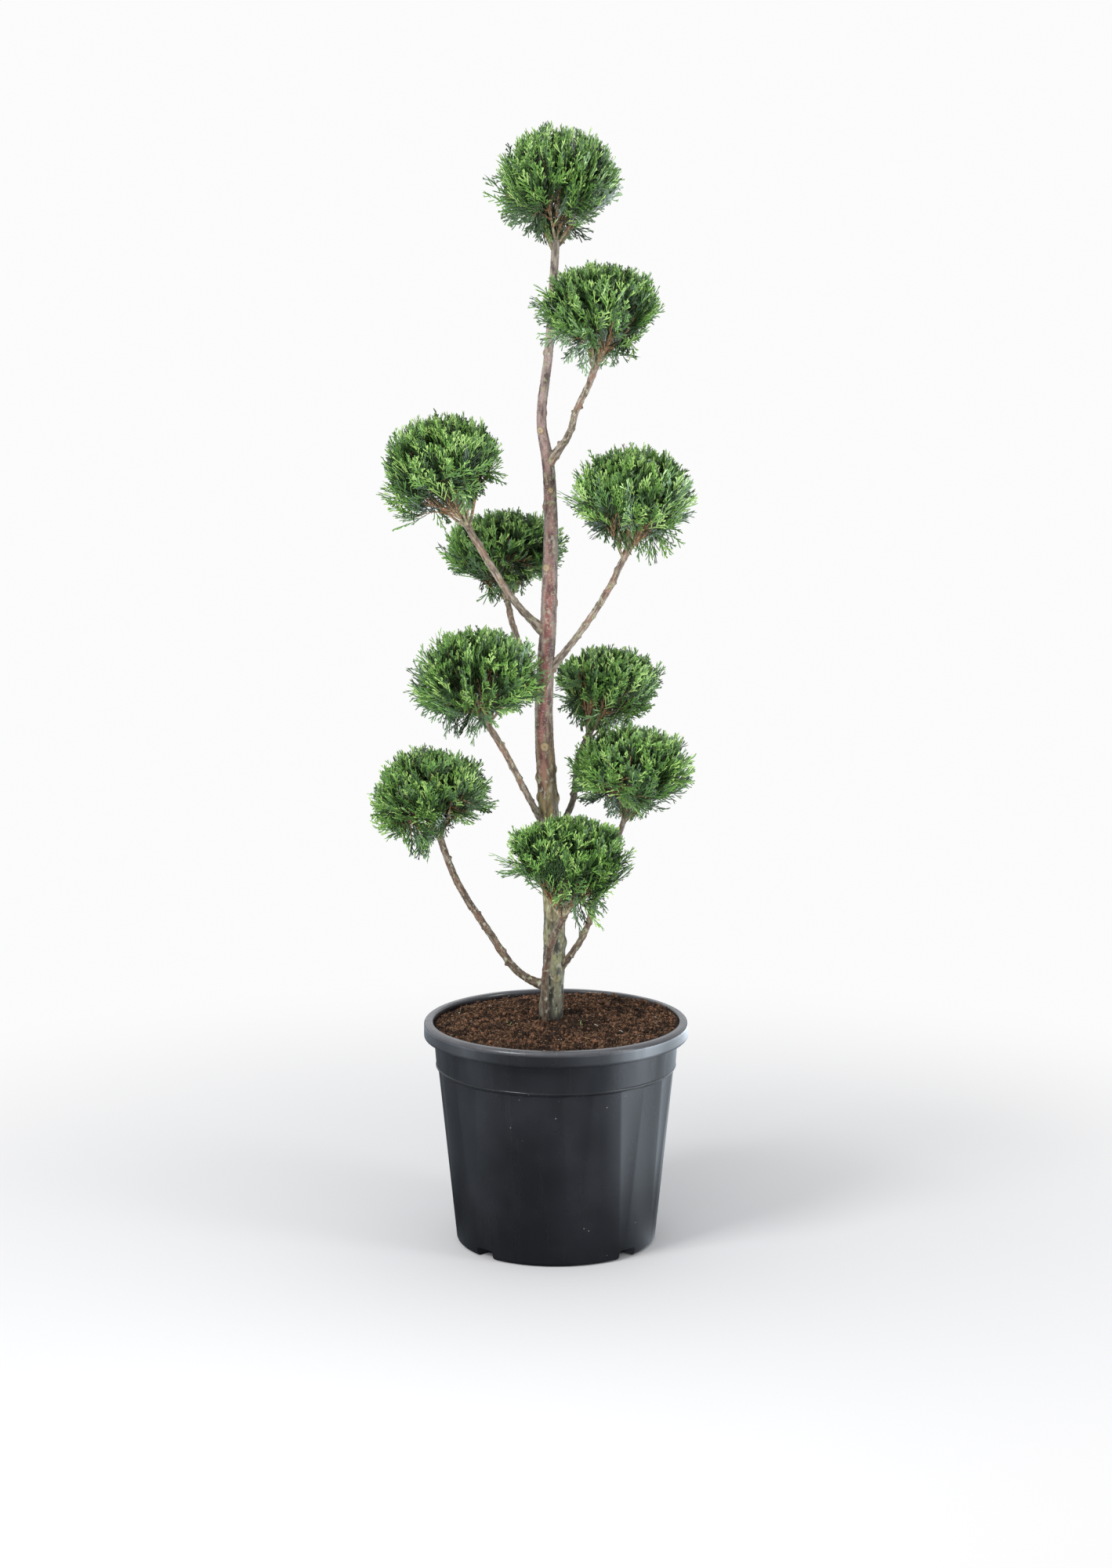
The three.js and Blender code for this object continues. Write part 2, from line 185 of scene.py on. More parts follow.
world = bpy.data.worlds.new("surround")
bpy.context.scene.world = world
world.use_nodes = True
tree = world.node_tree
heading = parts_of(tree, add_node(tree, "ShaderNodeTexCoord").outputs["Generated"])
strength = add_range(tree, heading["Y"], -0.2, 0.7, front_light, back_light, "SMOOTHSTEP")
lighting = tree.nodes["Background"]
lighting.inputs["Color"].default_value = sky_tint
tree.links.new(strength, lighting.inputs["Strength"])
seen = add_node(tree, "ShaderNodeBackground", {"Color": surround_white})
choice = add_node(tree, "ShaderNodeMixShader", {
    "Fac": add_node(tree, "ShaderNodeLightPath").outputs["Is Camera Ray"],
    1: lighting.outputs["Background"], 2: seen.outputs["Background"],
})
tree.links.new(choice.outputs["Shader"], tree.nodes["World Output"].inputs["Surface"])

for name, place, size, watts in [
    ("softbox_left", (-1.9, -1.9, 2.5), (1.1, 1.1), 82), ("softbox_right", (2.3, -1.3, 1.2), (0.7, 1.9), 28),
    ("softbox_above", (0.3, -0.3, 3.4), (1.6, 1.6), 12), ("softbox_front", (-0.6, -3.6, 0.5), (2.4, 1.0), 42),
    ("softbox_low", (-0.3, -1.5, 0.1), (1.6, 0.6), 26),
]:
    lamp = bpy.data.lights.new(name, "AREA")
    lamp.shape = "RECTANGLE"
    lamp.size, lamp.size_y = size
    lamp.energy = watts
    holder = bpy.data.objects.new(name, lamp)
    holder.location = place
    holder.rotation_euler = (plant_middle - holder.location).to_track_quat("-Z", "Y").to_euler()
    holder.visible_camera = False
    holder.visible_glossy = name not in ("softbox_front", "softbox_low")
    bpy.context.scene.collection.objects.link(holder)

# The pot is moulded from black polypropylene in one shot: a foot with four drain notches, a tapering
# wall with twelve shallow flutes, a ledge under a plain band, and a rolled rim that is open below.
pot_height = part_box("pot")[1].z
rim_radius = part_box("pot")[1].x
wall = 2.6 * mm
floor_thickness = 3 * mm
foot_radius, foot_rounding = 134 * mm, 7 * mm
step_radius = 157.6 * mm
band_bottom, band_bottom_radius, band_top_radius = 241 * mm, 160.2 * mm, 163.4 * mm
ledge_height = 3 * mm
rim_bottom, rim_rounding, mouth_radius, mouth_bevel = 282 * mm, 5 * mm, 165 * mm, 1 * mm
flute_count, flute_turn = 12, math.radians(-79.5)
flute_depth, flute_half_width = 2.1 * mm, math.radians(7.6)
notch_count, notch_width, notch_height, notch_depth = 4, 30 * mm, 13 * mm, 22 * mm
notch_flare, notch_shoulder = 1.06, 3 * mm
pot_steps = 480


def line(start, end, steps):
    """Points from start to end, without start."""
    return [tuple(np.array(start) + (np.array(end) - start) * i / steps) for i in range(1, steps + 1)]


def arc(centre, radii, start, end, steps):
    """Points round an arc, from one angle to another in degrees."""
    angles = np.radians(np.linspace(start, end, steps + 1))
    return [(centre[0] + radii[0] * math.cos(a), centre[1] + radii[1] * math.sin(a)) for a in angles]


def spun(profile, steps):
    """A closed round shape: a profile of radii and heights, spun about the Z axis."""
    shape = bmesh.new()
    points = [shape.verts.new((radius, 0, height)) for radius, height in profile]
    edges = [shape.edges.new(pair) for pair in zip(points, points[1:])]
    bmesh.ops.spin(
        shape, geom=points + edges, cent=(0, 0, 0), axis=(0, 0, 1),
        angle=math.tau, steps=steps, use_merge=True,
    )
    bmesh.ops.remove_doubles(shape, verts=shape.verts, dist=0.001 * mm)
    bmesh.ops.recalc_face_normals(shape, faces=shape.faces)
    return shape


def make_piece(name, shape, sharp_angle=35):
    """An object from a finished shape, smooth except at edges sharper than an angle in degrees."""
    for face in shape.faces:
        face.smooth = True
    for edge in shape.edges:
        edge.smooth = len(edge.link_faces) == 2 and edge.calc_face_angle(0) < math.radians(sharp_angle)
    mesh = bpy.data.meshes.new(name)
    shape.to_mesh(mesh)
    shape.free()
    piece = bpy.data.objects.new(name, mesh)
    bpy.context.scene.collection.objects.link(piece)
    return piece


def cut(shape, tool):
    """A shape with a tool's space taken out of it."""
    base, cutter = make_piece("uncut", shape), make_piece("cutter", tool)
    boolean = base.modifiers.new("cut", "BOOLEAN")
    boolean.object = cutter
    boolean.solver = "EXACT"
    result = bmesh.new()
    result.from_mesh(base.evaluated_get(bpy.context.evaluated_depsgraph_get()).to_mesh())
    for spare in (base, cutter):
        mesh = spare.data
        bpy.data.objects.remove(spare)
        bpy.data.meshes.remove(mesh)
    return result


def notch_blocks(margin):
    """Blocks with sloping, rounded shoulders at the drain notches, grown by a margin."""
    blocks = bmesh.new()
    bmesh.ops.create_cube(blocks, size=2)
    for corner in blocks.verts:
        flare = notch_flare if corner.co.z < 0 else 2 - notch_flare
        corner.co.x = foot_radius + corner.co.x * (notch_depth + margin)
        corner.co.y *= (notch_width / 2 + margin) * flare
        corner.co.z *= notch_height + margin
    shoulders = [edge for edge in blocks.edges if edge.verts[0].co.y == edge.verts[1].co.y]
    shoulders = [edge for edge in shoulders if all(corner.co.z > 0 for corner in edge.verts)]
    bmesh.ops.bevel(
        blocks, geom=shoulders, offset=notch_shoulder, offset_type="OFFSET", affect="EDGES",
        segments=4, profile=0.5, material=-1,
    )
    one = blocks.verts[:] + blocks.edges[:] + blocks.faces[:]
    turn = math.tau / notch_count
    for i in range(1, notch_count):
        made = bmesh.ops.duplicate(blocks, geom=one)["geom"]
        corners = [part for part in made if isinstance(part, bmesh.types.BMVert)]
        bmesh.ops.rotate(blocks, verts=corners, cent=(0, 0, 0), matrix=Matrix.Rotation(turn * i, 3, "Z"))
    bmesh.ops.rotate(blocks, verts=blocks.verts, cent=(0, 0, 0), matrix=Matrix.Rotation(turn / 2, 3, "Z"))
    return blocks


def turn_from(middle, turn, spacing=math.tau):
    """How far round a turn is from a middle, or from the nearest of many evenly spaced ones."""
    return (turn - middle + spacing / 2) % spacing - spacing / 2


rim_middle = (rim_radius + mouth_radius) / 2
skirt_inside = rim_radius - wall
outside = [(0, 0)]
outside += arc((foot_radius - foot_rounding, foot_rounding), (foot_rounding, foot_rounding), -90, 0, 6)
outside += line((foot_radius, foot_rounding), (step_radius, band_bottom - ledge_height), 34)
outside += arc((step_radius, band_bottom), (2.6 * mm, 2 * mm), -60, -10, 4)
outside += arc((band_bottom_radius, band_bottom + 1.6 * mm), (0.9 * mm, 1.4 * mm), -80, 80, 6)
outside += line((band_bottom_radius + 0.1 * mm, band_bottom + 3.2 * mm), (band_top_radius, rim_bottom), 6)
outside += line(outside[-1], (mouth_radius - mouth_bevel + wall, pot_height - 2 * wall), 2)
outside += [(skirt_inside, pot_height - 2 * wall), (skirt_inside, rim_bottom + wall / 2)]
outside += arc((rim_radius - wall / 2, rim_bottom + wall / 2), (wall / 2, wall / 2), 180, 360, 8)[1:]
outside += line(outside[-1], (rim_radius, pot_height - rim_rounding), 6)
outside += arc((rim_middle, pot_height - rim_rounding), (rim_radius - rim_middle, rim_rounding), 0, 90, 9)[1:]
outside += [(0, pot_height)]
inside = [(0, floor_thickness), (foot_radius - wall - foot_rounding / 2, floor_thickness)]
inside += [(foot_radius - wall, foot_rounding), (step_radius - wall, band_bottom - ledge_height)]
inside += [(band_top_radius - wall, rim_bottom), (mouth_radius - mouth_bevel, pot_height - rim_rounding)]
inside += arc((mouth_radius + 2 * mm, pot_height - 4 * mm), (3 * mm, 4 * mm), 170, 100, 5)
inside += [(mouth_radius + 3 * mm, pot_height + wall), (0, pot_height + wall)]

outer = spun(outside, pot_steps)
for corner in outer.verts:
    height, radius = corner.co.z, corner.co.xy.length
    if foot_rounding < height < band_bottom - ledge_height + mm and radius > foot_radius - mm:
        along = (height - foot_rounding) / (band_bottom - ledge_height - foot_rounding)
        off = turn_from(flute_turn, math.atan2(corner.co.y, corner.co.x), math.tau / flute_count)
        half_width = flute_half_width * (0.3 + 0.7 * along)
        dip = flute_depth * along ** 0.7 * max(0, 1 - (off / half_width) ** 2)
        corner.co.xy *= 1 - dip / radius
hollow = cut(spun(inside, pot_steps // 2), notch_blocks(wall))
pot = make_piece("pot_shell", cut(cut(outer, hollow), notch_blocks(0)))
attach(pot, "root")
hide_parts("pot")


def add_noise(tree, scale, detail, stretch=(1, 1, 1), kind="ShaderNodeTexNoise", place=None):
    """A noise on Object coordinates or a given place, in periods for each metre, finer along an axis as
    stretch grows."""
    mapping = add_node(tree, "ShaderNodeMapping", {"Vector": place or object_place(tree), "Scale": stretch})
    vector = mapping.outputs["Vector"]
    return add_node(tree, kind, {"Vector": vector, "Scale": scale, "Detail": detail}).outputs[0]


def add_mix(tree, share, first, second, blend="MIX"):
    """Mixes two colours by a share."""
    sockets = {"Factor": share, "A": first, "B": second}
    return add_node(tree, "ShaderNodeMix", sockets, data_type="RGBA", blend_type=blend).outputs["Result"]


def add_bump(tree, shader, height, distance):
    """Gives a shader relief from a height, in metres at full height."""
    bump = add_node(tree, "ShaderNodeBump", {"Distance": distance, "Height": height})
    tree.links.new(bump.outputs["Normal"], shader.inputs["Normal"])


black_plastic, tree, shader = make_material(
    "black_plastic", paint(26, 27, 30), 0.3, {"Specular IOR Level": 0.42},
)
height = parts_of(tree, object_place(tree))["Z"]
# The top of the rim is painted a streaky lighter grey. It stands for dust, and also for a painted sheen where
# the rim mirrors the pale surround.
on_rim = add_range(tree, height, pot_height - 7 * mm, pot_height - 1 * mm)
clouds = add_noise(tree, 9, 5)
scuffs = add_noise(tree, 60, 6, (1, 1, 0.08))
smears = add_noise(tree, 30, 6, (1, 1, 3))
dust_and_sheen = add_math(tree, "MULTIPLY", on_rim, add_range(tree, smears, 0.3, 0.7, 0.7, 1.0))
specks = add_noise(tree, 48, 0, kind="ShaderNodeTexVoronoi")
speck = add_math(tree, "MULTIPLY", add_range(tree, specks, 0.034, 0.018), add_range(tree, clouds, 0.46, 0.52))
smudged = add_mix(tree, add_range(tree, clouds, 0.45, 0.75), paint(20, 21, 24), paint(31, 32, 36))
dusty_with_sheen = add_mix(tree, dust_and_sheen, smudged, paint(78, 79, 83))
tree.links.new(add_mix(tree, speck, dusty_with_sheen, paint(150, 148, 143)), shader.inputs["Base Color"])
tree.links.new(add_range(tree, scuffs, 0.3, 0.75, 0.17, 0.33), shader.inputs["Roughness"])
add_bump(tree, shader, add_noise(tree, 700, 3), 0.04 * mm)
pot.data.materials.append(black_plastic)

# The peat in the pot: brown and fibrous, raked roughly level, a little lower at the left of the wall,
# clumped by the trunk, and darker round the trunk and towards the front. Loose crumbs, fibres and a few
# white grains lie on it, and two seedlings have come up in it.
soil_level = 303 * mm
soil_at_wall, soil_slope, soil_unevenness = 297 * mm, 3.5 * mm, 1.5 * mm
seat_radius, soil_radius = 44 * mm, 163.4 * mm
soil_bottom_radius, soil_depth, soil_edge = 155 * mm, 60 * mm, 8 * mm
soil_rings, soil_steps = 110, 400
heap_place, heap_radius, heap_height = (30 * mm, -12 * mm), 21 * mm, 4.5 * mm
crumb_count, fibre_count = 11500, 3600


def rough_field(points, grain, seed, waves=28):
    """A smooth random height, mostly from -1 to 1, at each point: sine waves about one grain long."""
    random = np.random.default_rng(seed)
    headings = random.normal(size=(waves, 3))
    lengths = np.linalg.norm(headings, axis=1, keepdims=True) * grain
    headings *= random.uniform(0.6, 1.5, (waves, 1)) * math.tau / lengths
    phases = random.uniform(0, math.tau, waves)
    return np.sin(points @ headings.T + phases).sum(1) / math.sqrt(waves)


def soil_height(x, y):
    """How high the peat lies at a place."""
    radius = np.hypot(x, y)
    outward = np.clip((radius - seat_radius) / (soil_radius - seat_radius), 0, 1)
    angle = np.arctan2(y, x)
    wave = 0.6 * np.sin(2 * angle + 0.6) + 0.4 * np.sin(5 * angle)
    level = soil_level + (soil_at_wall - soil_level) * outward
    tilt = outward * (soil_slope * x / soil_radius + soil_unevenness * wave)
    points = np.column_stack([x, y, np.zeros_like(x)])
    mounds = 1.3 * mm * rough_field(points, 38 * mm, 1)
    clods = 2.1 * mm * rough_field(points, 13 * mm, 2) + 1.4 * mm * rough_field(points, 6 * mm, 3)
    heap = np.exp(-((x - heap_place[0]) ** 2 + (y - heap_place[1]) ** 2) / heap_radius ** 2)
    clods += heap * (heap_height + 2 * mm * rough_field(points, 17 * mm, 6))
    return level + tilt + (mounds + clods) * (0.45 + 0.55 * np.clip((soil_radius - radius) / (12 * mm), 0, 1))


def dark_clods(points):
    """Where the peat is darker: in patches, round the trunk's foot, and more towards the front."""
    near_trunk = np.exp(-(np.hypot(points[:, 0] - 8 * mm, points[:, 1] + 4 * mm) / (40 * mm)) ** 2)
    flat = points * (1, 1, 0)
    patches = rough_field(flat, 52 * mm, 4) * 0.7 + rough_field(flat, 17 * mm, 5) * 0.5
    return patches + 1.2 * near_trunk - 0.4 * points[:, 1] / soil_radius


soil_profile = [(0, soil_level - soil_depth), (soil_bottom_radius, soil_level - soil_depth)]
soil_profile += line((soil_radius, soil_at_wall - soil_edge), (soil_radius, soil_at_wall), 2)
soil_profile += line((soil_radius, soil_at_wall), (0, soil_at_wall), soil_rings)
soil_shape = spun(soil_profile, soil_steps)
top_corners = [corner for corner in soil_shape.verts if corner.co.z > soil_at_wall - mm]
places = np.array([corner.co for corner in top_corners])
for corner, height in zip(top_corners, soil_height(places[:, 0], places[:, 1])):
    corner.co.z = height
soil = make_piece("soil_bed", soil_shape, 180)
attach(soil, "root")
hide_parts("soil")


def new_group(name, inputs, outputs):
    """A node group with named inputs and outputs, what it is given, and where its results go."""
    group = bpy.data.node_groups.new(name, "ShaderNodeTree")
    for in_out, sockets in (("INPUT", inputs), ("OUTPUT", outputs)):
        for socket, kind in sockets.items():
            group.interface.new_socket(socket, in_out=in_out, socket_type=f"NodeSocket{kind}")
    return group, add_node(group, "NodeGroupInput").outputs, add_node(group, "NodeGroupOutput").inputs


grain_group, given, results = new_group(
    "grain", {"Dark": "Color", "Light": "Color", "Scale": "Float"}, {"Colour": "Color", "Height": "Float"},
)
grain = add_noise(grain_group, given["Scale"], 6)
mixed = add_mix(grain_group, add_range(grain_group, grain, 0.36, 0.64), given["Dark"], given["Light"])
grain_group.links.new(mixed, results["Colour"])
grain_group.links.new(grain, results["Height"])


def grained(name, dark, light, scale, roughness, relief):
    """A material of two near colours, given as screen values, in a random grain with relief."""
    colours = {"Dark": paint(*dark), "Light": paint(*light)}
    material, tree, shader = make_material(name, colours["Light"], roughness, {"Specular IOR Level": 0.2})
    grain = add_node(tree, "ShaderNodeGroup", {**colours, "Scale": scale}, node_tree=grain_group).outputs
    tree.links.new(grain["Colour"], shader.inputs["Base Color"])
    add_bump(tree, shader, grain["Height"], relief)
    return material


peat_brown, peat_red, peat_dark, fibre_tan, fibre_straw, white_grain = range(6)
peats = [
    grained("peat_brown", (44, 32, 25), (128, 98, 76), 420, 0.95, 0.8 * mm),
    grained("peat_red", (54, 37, 28), (138, 100, 76), 420, 0.95, 0.8 * mm),
    grained("peat_dark", (22, 17, 14), (56, 43, 35), 420, 0.95, 0.8 * mm),
    grained("fibre_tan", (118, 90, 66), (168, 136, 104), 300, 0.9, 0.2 * mm),
    grained("fibre_straw", (150, 130, 104), (192, 174, 148), 300, 0.85, 0.2 * mm),
    grained("white_grain", (190, 186, 176), (232, 230, 222), 300, 0.8, 0.2 * mm),
]
soil.data.materials.append(grained("peat_bed", (22, 16, 12), (68, 49, 36), 330, 0.95, 1.5 * mm))


def joined(name, materials, *sets):
    """One piece of many small shapes. Each set has their corners, their triangles, and one material's
    number for all of them or for each."""
    corners, faces, finishes, total = [], [], [], 0
    for some, their_faces, finish in sets:
        corners.append(some.reshape(-1, 3))
        faces.append(their_faces.reshape(-1, 3) + total)
        finishes.append(np.repeat(np.broadcast_to(finish, len(their_faces)), their_faces.shape[1]))
        total += len(corners[-1])
    mesh = bpy.data.meshes.new(name)
    mesh.from_pydata(np.vstack(corners), [], np.vstack(faces))
    for material in materials:
        mesh.materials.append(material)
    mesh.polygons.foreach_set("material_index", np.concatenate(finishes).astype(np.int32))
    mesh.update()
    piece = bpy.data.objects.new(name, mesh)
    bpy.context.scene.collection.objects.link(piece)
    return piece


def unit(vectors):
    """Each vector at length 1."""
    return vectors / np.linalg.norm(vectors, axis=-1, keepdims=True)


def copies_of(pattern, count, corners_each):
    """The triangles of one shape, repeated for its copies."""
    return np.asarray(pattern)[None] + (np.arange(count) * corners_each)[:, None, None]


def fingers(starts, ends, sides, radii, flatness=0.8, shoulder=0.8):
    """Slim closed shapes of ten faces, as wide as their radius up to a shoulder near their pointed end."""
    along = ends - starts
    overlap = along * (sides * along).sum(-1, keepdims=True)
    across = unit(sides - overlap / (along ** 2).sum(-1, keepdims=True))
    through = np.cross(unit(along), across)
    corners = np.empty((len(starts), 7, 3))
    corners[:, 6] = ends
    for i in range(3):
        turn = i * math.tau / 3
        offset = (across * math.cos(turn) + through * math.sin(turn) * flatness) * radii[:, None]
        corners[:, i] = starts + offset * 0.7
        corners[:, 3 + i] = starts + along * shoulder + offset
    pattern = [(2, 1, 0)]
    for i in range(3):
        j = (i + 1) % 3
        pattern += [(i, j, 3 + j), (i, 3 + j, 3 + i), (3 + i, 3 + j, 6)]
    return corners, copies_of(pattern, len(starts), 7)


def needles(starts, ends, sides, radii, flatness=0.6, fullest=0.7):
    """Slim closed shapes of six faces, pointed at both ends and widest at a share of their length."""
    corners, _ = fingers(starts, ends, sides, radii, flatness, fullest)
    corners = np.concatenate([starts[:, None], corners[:, 3:]], axis=1)
    pattern = []
    for i in range(3):
        j = (i + 1) % 3
        pattern += [(0, 1 + j, 1 + i), (1 + i, 1 + j, 4)]
    return corners, copies_of(pattern, len(starts), 5)


def scattered(count, outermost, innermost):
    """Random places on the peat, out to a share of its radius, with none at the trunk."""
    radius = soil_radius * outermost * np.sqrt(random.uniform(innermost, 1, count))
    angle = random.uniform(0, math.tau, count)
    x, y = radius * np.cos(angle), radius * np.sin(angle)
    return np.column_stack([x, y, soil_height(x, y)])


random = np.random.default_rng(7)
crumbs = scattered(crumb_count, 0.985, 0.012)
sizes = np.clip(random.lognormal(math.log(1.1), 0.52, crumb_count), 0.5, 5.5) * mm
crumbs[:, 2] += sizes * random.uniform(-0.3, 0.7, crumb_count)
octahedron = np.array([(1, 0, 0), (0, 1, 0), (-1, 0, 0), (0, -1, 0), (0, 0, 1), (0, 0, -1)], float)
octahedron_faces = [(0, 1, 4), (1, 2, 4), (2, 3, 4), (3, 0, 4), (1, 0, 5), (2, 1, 5), (3, 2, 5), (0, 3, 5)]
stretched = octahedron * random.uniform(0.55, 1.35, (crumb_count, 6, 1))
turns, _ = np.linalg.qr(random.normal(size=(crumb_count, 3, 3)))
turns *= np.sign(np.linalg.det(turns))[:, None, None]
crumb_corners = crumbs[:, None] + (stretched * sizes[:, None, None]) @ turns
is_dark = dark_clods(crumbs) + random.normal(0, 0.25, crumb_count) > 0.35
light_finishes = random.choice([peat_brown, peat_red], crumb_count, p=[0.55, 0.45])
crumb_finishes = np.where(is_dark, peat_dark, light_finishes)
is_tan = (random.uniform(size=crumb_count) < 0.08) & (sizes < 1.1 * mm)
crumb_finishes = np.where(is_tan, fibre_tan, crumb_finishes)
loose_crumbs = joined(
    "soil_crumbs", peats, (crumb_corners, copies_of(octahedron_faces, crumb_count, 6), crumb_finishes),
)

fibres = scattered(fibre_count, 0.97, 0.02)
fibres[:, 2] += random.uniform(0.4, 2.2, fibre_count) * mm
heading = unit(np.column_stack([random.normal(size=(fibre_count, 2)), random.normal(0, 0.35, fibre_count)]))
reach = heading * np.clip(random.lognormal(math.log(1.7), 0.5, fibre_count), 0.7, 7)[:, None] * mm
thick = random.uniform(0.25, 0.5, fibre_count) * mm
fibre_kinds = [peat_brown, peat_red, fibre_tan, fibre_straw, white_grain]
fibre_finishes = random.choice(fibre_kinds, fibre_count, p=[0.4, 0.42, 0.15, 0.02, 0.01])
sides = np.tile((0.1, 0.2, 1.0), (fibre_count, 1))
loose_fibres = joined(
    "soil_fibres", peats, (*fingers(fibres - reach, fibres + reach, sides, thick), fibre_finishes),
)

# Each seedling is three leaves from one root
sprout_green = grained("sprout_green", (84, 106, 64), (130, 150, 102), 200, 0.6, 0.05 * mm)
sprout_roots = np.repeat([(-62.5, -33, 302), (33, -36, 303)], 3, axis=0) * mm
sprout_leans = np.array([
    (-0.5, 0, 1), (0.55, 0.1, 0.8), (0.9, -0.2, 0.25), (0, 0, 1), (-0.2, 0.1, 1), (0.5, 0, 0.5),
])
sprout_lengths = np.array([[8], [6], [5], [8], [6], [4]])
sprout_tips = sprout_roots + unit(sprout_leans) * sprout_lengths * mm
sides, thick = np.tile((0, 1.0, 0), (6, 1)), np.full(6, 0.6 * mm)
sprouts = joined("soil_sprouts", [sprout_green], (*fingers(sprout_roots, sprout_tips, sides, thick), 0))
for piece in (loose_crumbs, loose_fibres, sprouts):
    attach(piece, "root")
    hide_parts("soil")

# The trunk: one unbroken stem from the peat to its tip under the top ball. Its bark is thin, grey and
# green with lichen at the foot, red-brown in the middle and pinkish grey above, with knots where side
# shoots were taken off.
trunk_sides, trunk_rings = 72, 700
bark_top = 1.34
ridge_turn, ridge_rise, ridge_half_width = math.radians(200), 3.4 * mm, 0.42
ridge_top, ridge_fade = 350 * mm, 28 * mm
# Each station: its height, how far right and back the middle lies there, and the radius
trunk_stations = np.array([
    (290, -6, 12, 15.5), (322, -5, 11, 14.4), (416, -2, 7, 14.5), (573, -9, 1, 13.1), (719, -16, -2, 11.9),
    (866, -9, 0, 10.4), (1012, -8, 3, 8.5), (1052, -11, 3, 7.9), (1091, -18, 1, 6.5), (1194, -9, -2, 5.8),
    (1335, 0, 0, 5.1),
]) * mm
# Each knot: its height, its turn from the front towards the right in degrees, its size and its rise
knots = [
    (359, 15, 7, 1.4), (407, 84, 7, 3.2), (444, -12, 8, 1.6), (604, 82, 8, 3.6), (605, -84, 6, 3.2),
    (632, -86, 6, 3.4), (643, 88, 5, 2.4), (675, 0, 8, 1.6), (864, 86, 5, 2.0), (911, -32, 7, 1.6),
    (990, -86, 5, 2.8), (1012, 8, 5, 1.0), (1090, -22, 6, 1.6), (1112, 88, 4, 1.6), (1190, -84, 4, 2.6),
    (520, 150, 7, 2.4), (760, -140, 6, 2.2), (835, 170, 6, 1.8), (960, 140, 5, 1.8), (1250, 160, 4, 1.2),
]


def smooth_path(points, count):
    """Evenly spaced points on a smooth curve through the given ones."""
    points = np.asarray(points, float)
    spans = np.linalg.norm(np.diff(points, axis=0), axis=1)
    at = np.concatenate([[0], np.cumsum(spans)])
    slopes = np.gradient(points, at, axis=0)
    wanted = np.linspace(0, at[-1], count)
    span = np.clip(np.searchsorted(at, wanted, "right") - 1, 0, len(spans) - 1)
    share = ((wanted - at[span]) / spans[span])[:, None]
    length = spans[span][:, None]
    first = (2 * share ** 3 - 3 * share ** 2 + 1) * points[span]
    second = (3 * share ** 2 - 2 * share ** 3) * points[span + 1]
    first += (share ** 3 - 2 * share ** 2 + share) * length * slopes[span]
    second += (share ** 3 - share ** 2) * length * slopes[span + 1]
    return first + second


def limb(axis, radii, sides, relief):
    """A closed limb: a capped cylinder, cut into rings that are moved onto an axis. A function of the
    points, the ring shares and the turns gives the relief in metres. The attribute unbent holds each
    point's place on the limb as if it stood straight."""
    rings = len(axis) - 1
    shape = bmesh.new()
    bmesh.ops.create_cone(shape, cap_ends=True, segments=sides, radius1=1, radius2=1, depth=1)
    upright = [edge for edge in shape.edges if abs(edge.verts[0].co.z - edge.verts[1].co.z) > 0.5]
    bmesh.ops.subdivide_edges(shape, edges=upright, cuts=rings - 1, use_grid_fill=True)
    places = np.array([corner.co for corner in shape.verts])
    ring = np.rint((places[:, 2] + 0.5) * rings).astype(int)
    turn = np.arctan2(places[:, 1], places[:, 0])
    heading = unit(np.gradient(axis, axis=0))[ring]
    right = unit((1, 0, 0) - heading * heading[:, :1])
    back = np.cross(heading, right)
    outward = right * np.cos(turn)[:, None] + back * np.sin(turn)[:, None]
    points = axis[ring] + outward * radii[ring][:, None]
    points += outward * relief(points, ring / rings, turn)[:, None]
    lengths = np.concatenate([[0], np.cumsum(np.linalg.norm(np.diff(axis, axis=0), axis=1))])
    unbent = np.column_stack([np.cos(turn) * radii[ring], np.sin(turn) * radii[ring], lengths[ring]])
    layer = shape.verts.layers.float_vector.new("unbent")
    for corner, point, place in zip(shape.verts, points, unbent):
        corner.co = point
        corner[layer] = place
    return shape


def bark_relief(points, depth, seed):
    """Bark that is drawn out along a limb that mostly runs upwards."""
    drawn = points * (1, 1, 0.22)
    return depth * (0.6 * rough_field(drawn, 9 * mm, seed) + 0.4 * rough_field(drawn, 3.2 * mm, seed + 1))


def near_knots(heights, turn):
    """How near places on the trunk are to each knot: 1 at its middle."""
    radius = np.interp(heights, trunk_stations[:, 0], trunk_stations[:, 3])
    near = []
    for height, degrees, size, _ in knots:
        off = turn_from(math.radians(degrees - 90), turn)
        near.append(np.exp(-1.6 * ((heights - height * mm) ** 2 + (off * radius) ** 2) / (size * mm) ** 2))
    return np.array(near)


def trunk_relief(points, share, turn):
    """Bark, rougher near the foot, with the knots and the ridge below the lowest bough."""
    heights = points[:, 2]
    rough = np.interp(heights, [0.3, 0.5, 0.7, 1.35], [0.75, 0.5, 0.32, 0.22]) * mm
    relief = bark_relief(points, 1, 11) * rough
    relief += 0.16 * mm * rough_field(points * (0.5, 0.5, 2.4), 5 * mm, 13)
    near = near_knots(heights, turn)
    relief += np.array([knot[3] for knot in knots]) * mm @ (near * (1 - 0.45 * near ** 7.5))
    ridge = np.exp(-(turn_from(ridge_turn, turn) / ridge_half_width) ** 2)
    return relief + ridge_rise * ridge * np.clip((ridge_top - heights) / ridge_fade, 0, 1)


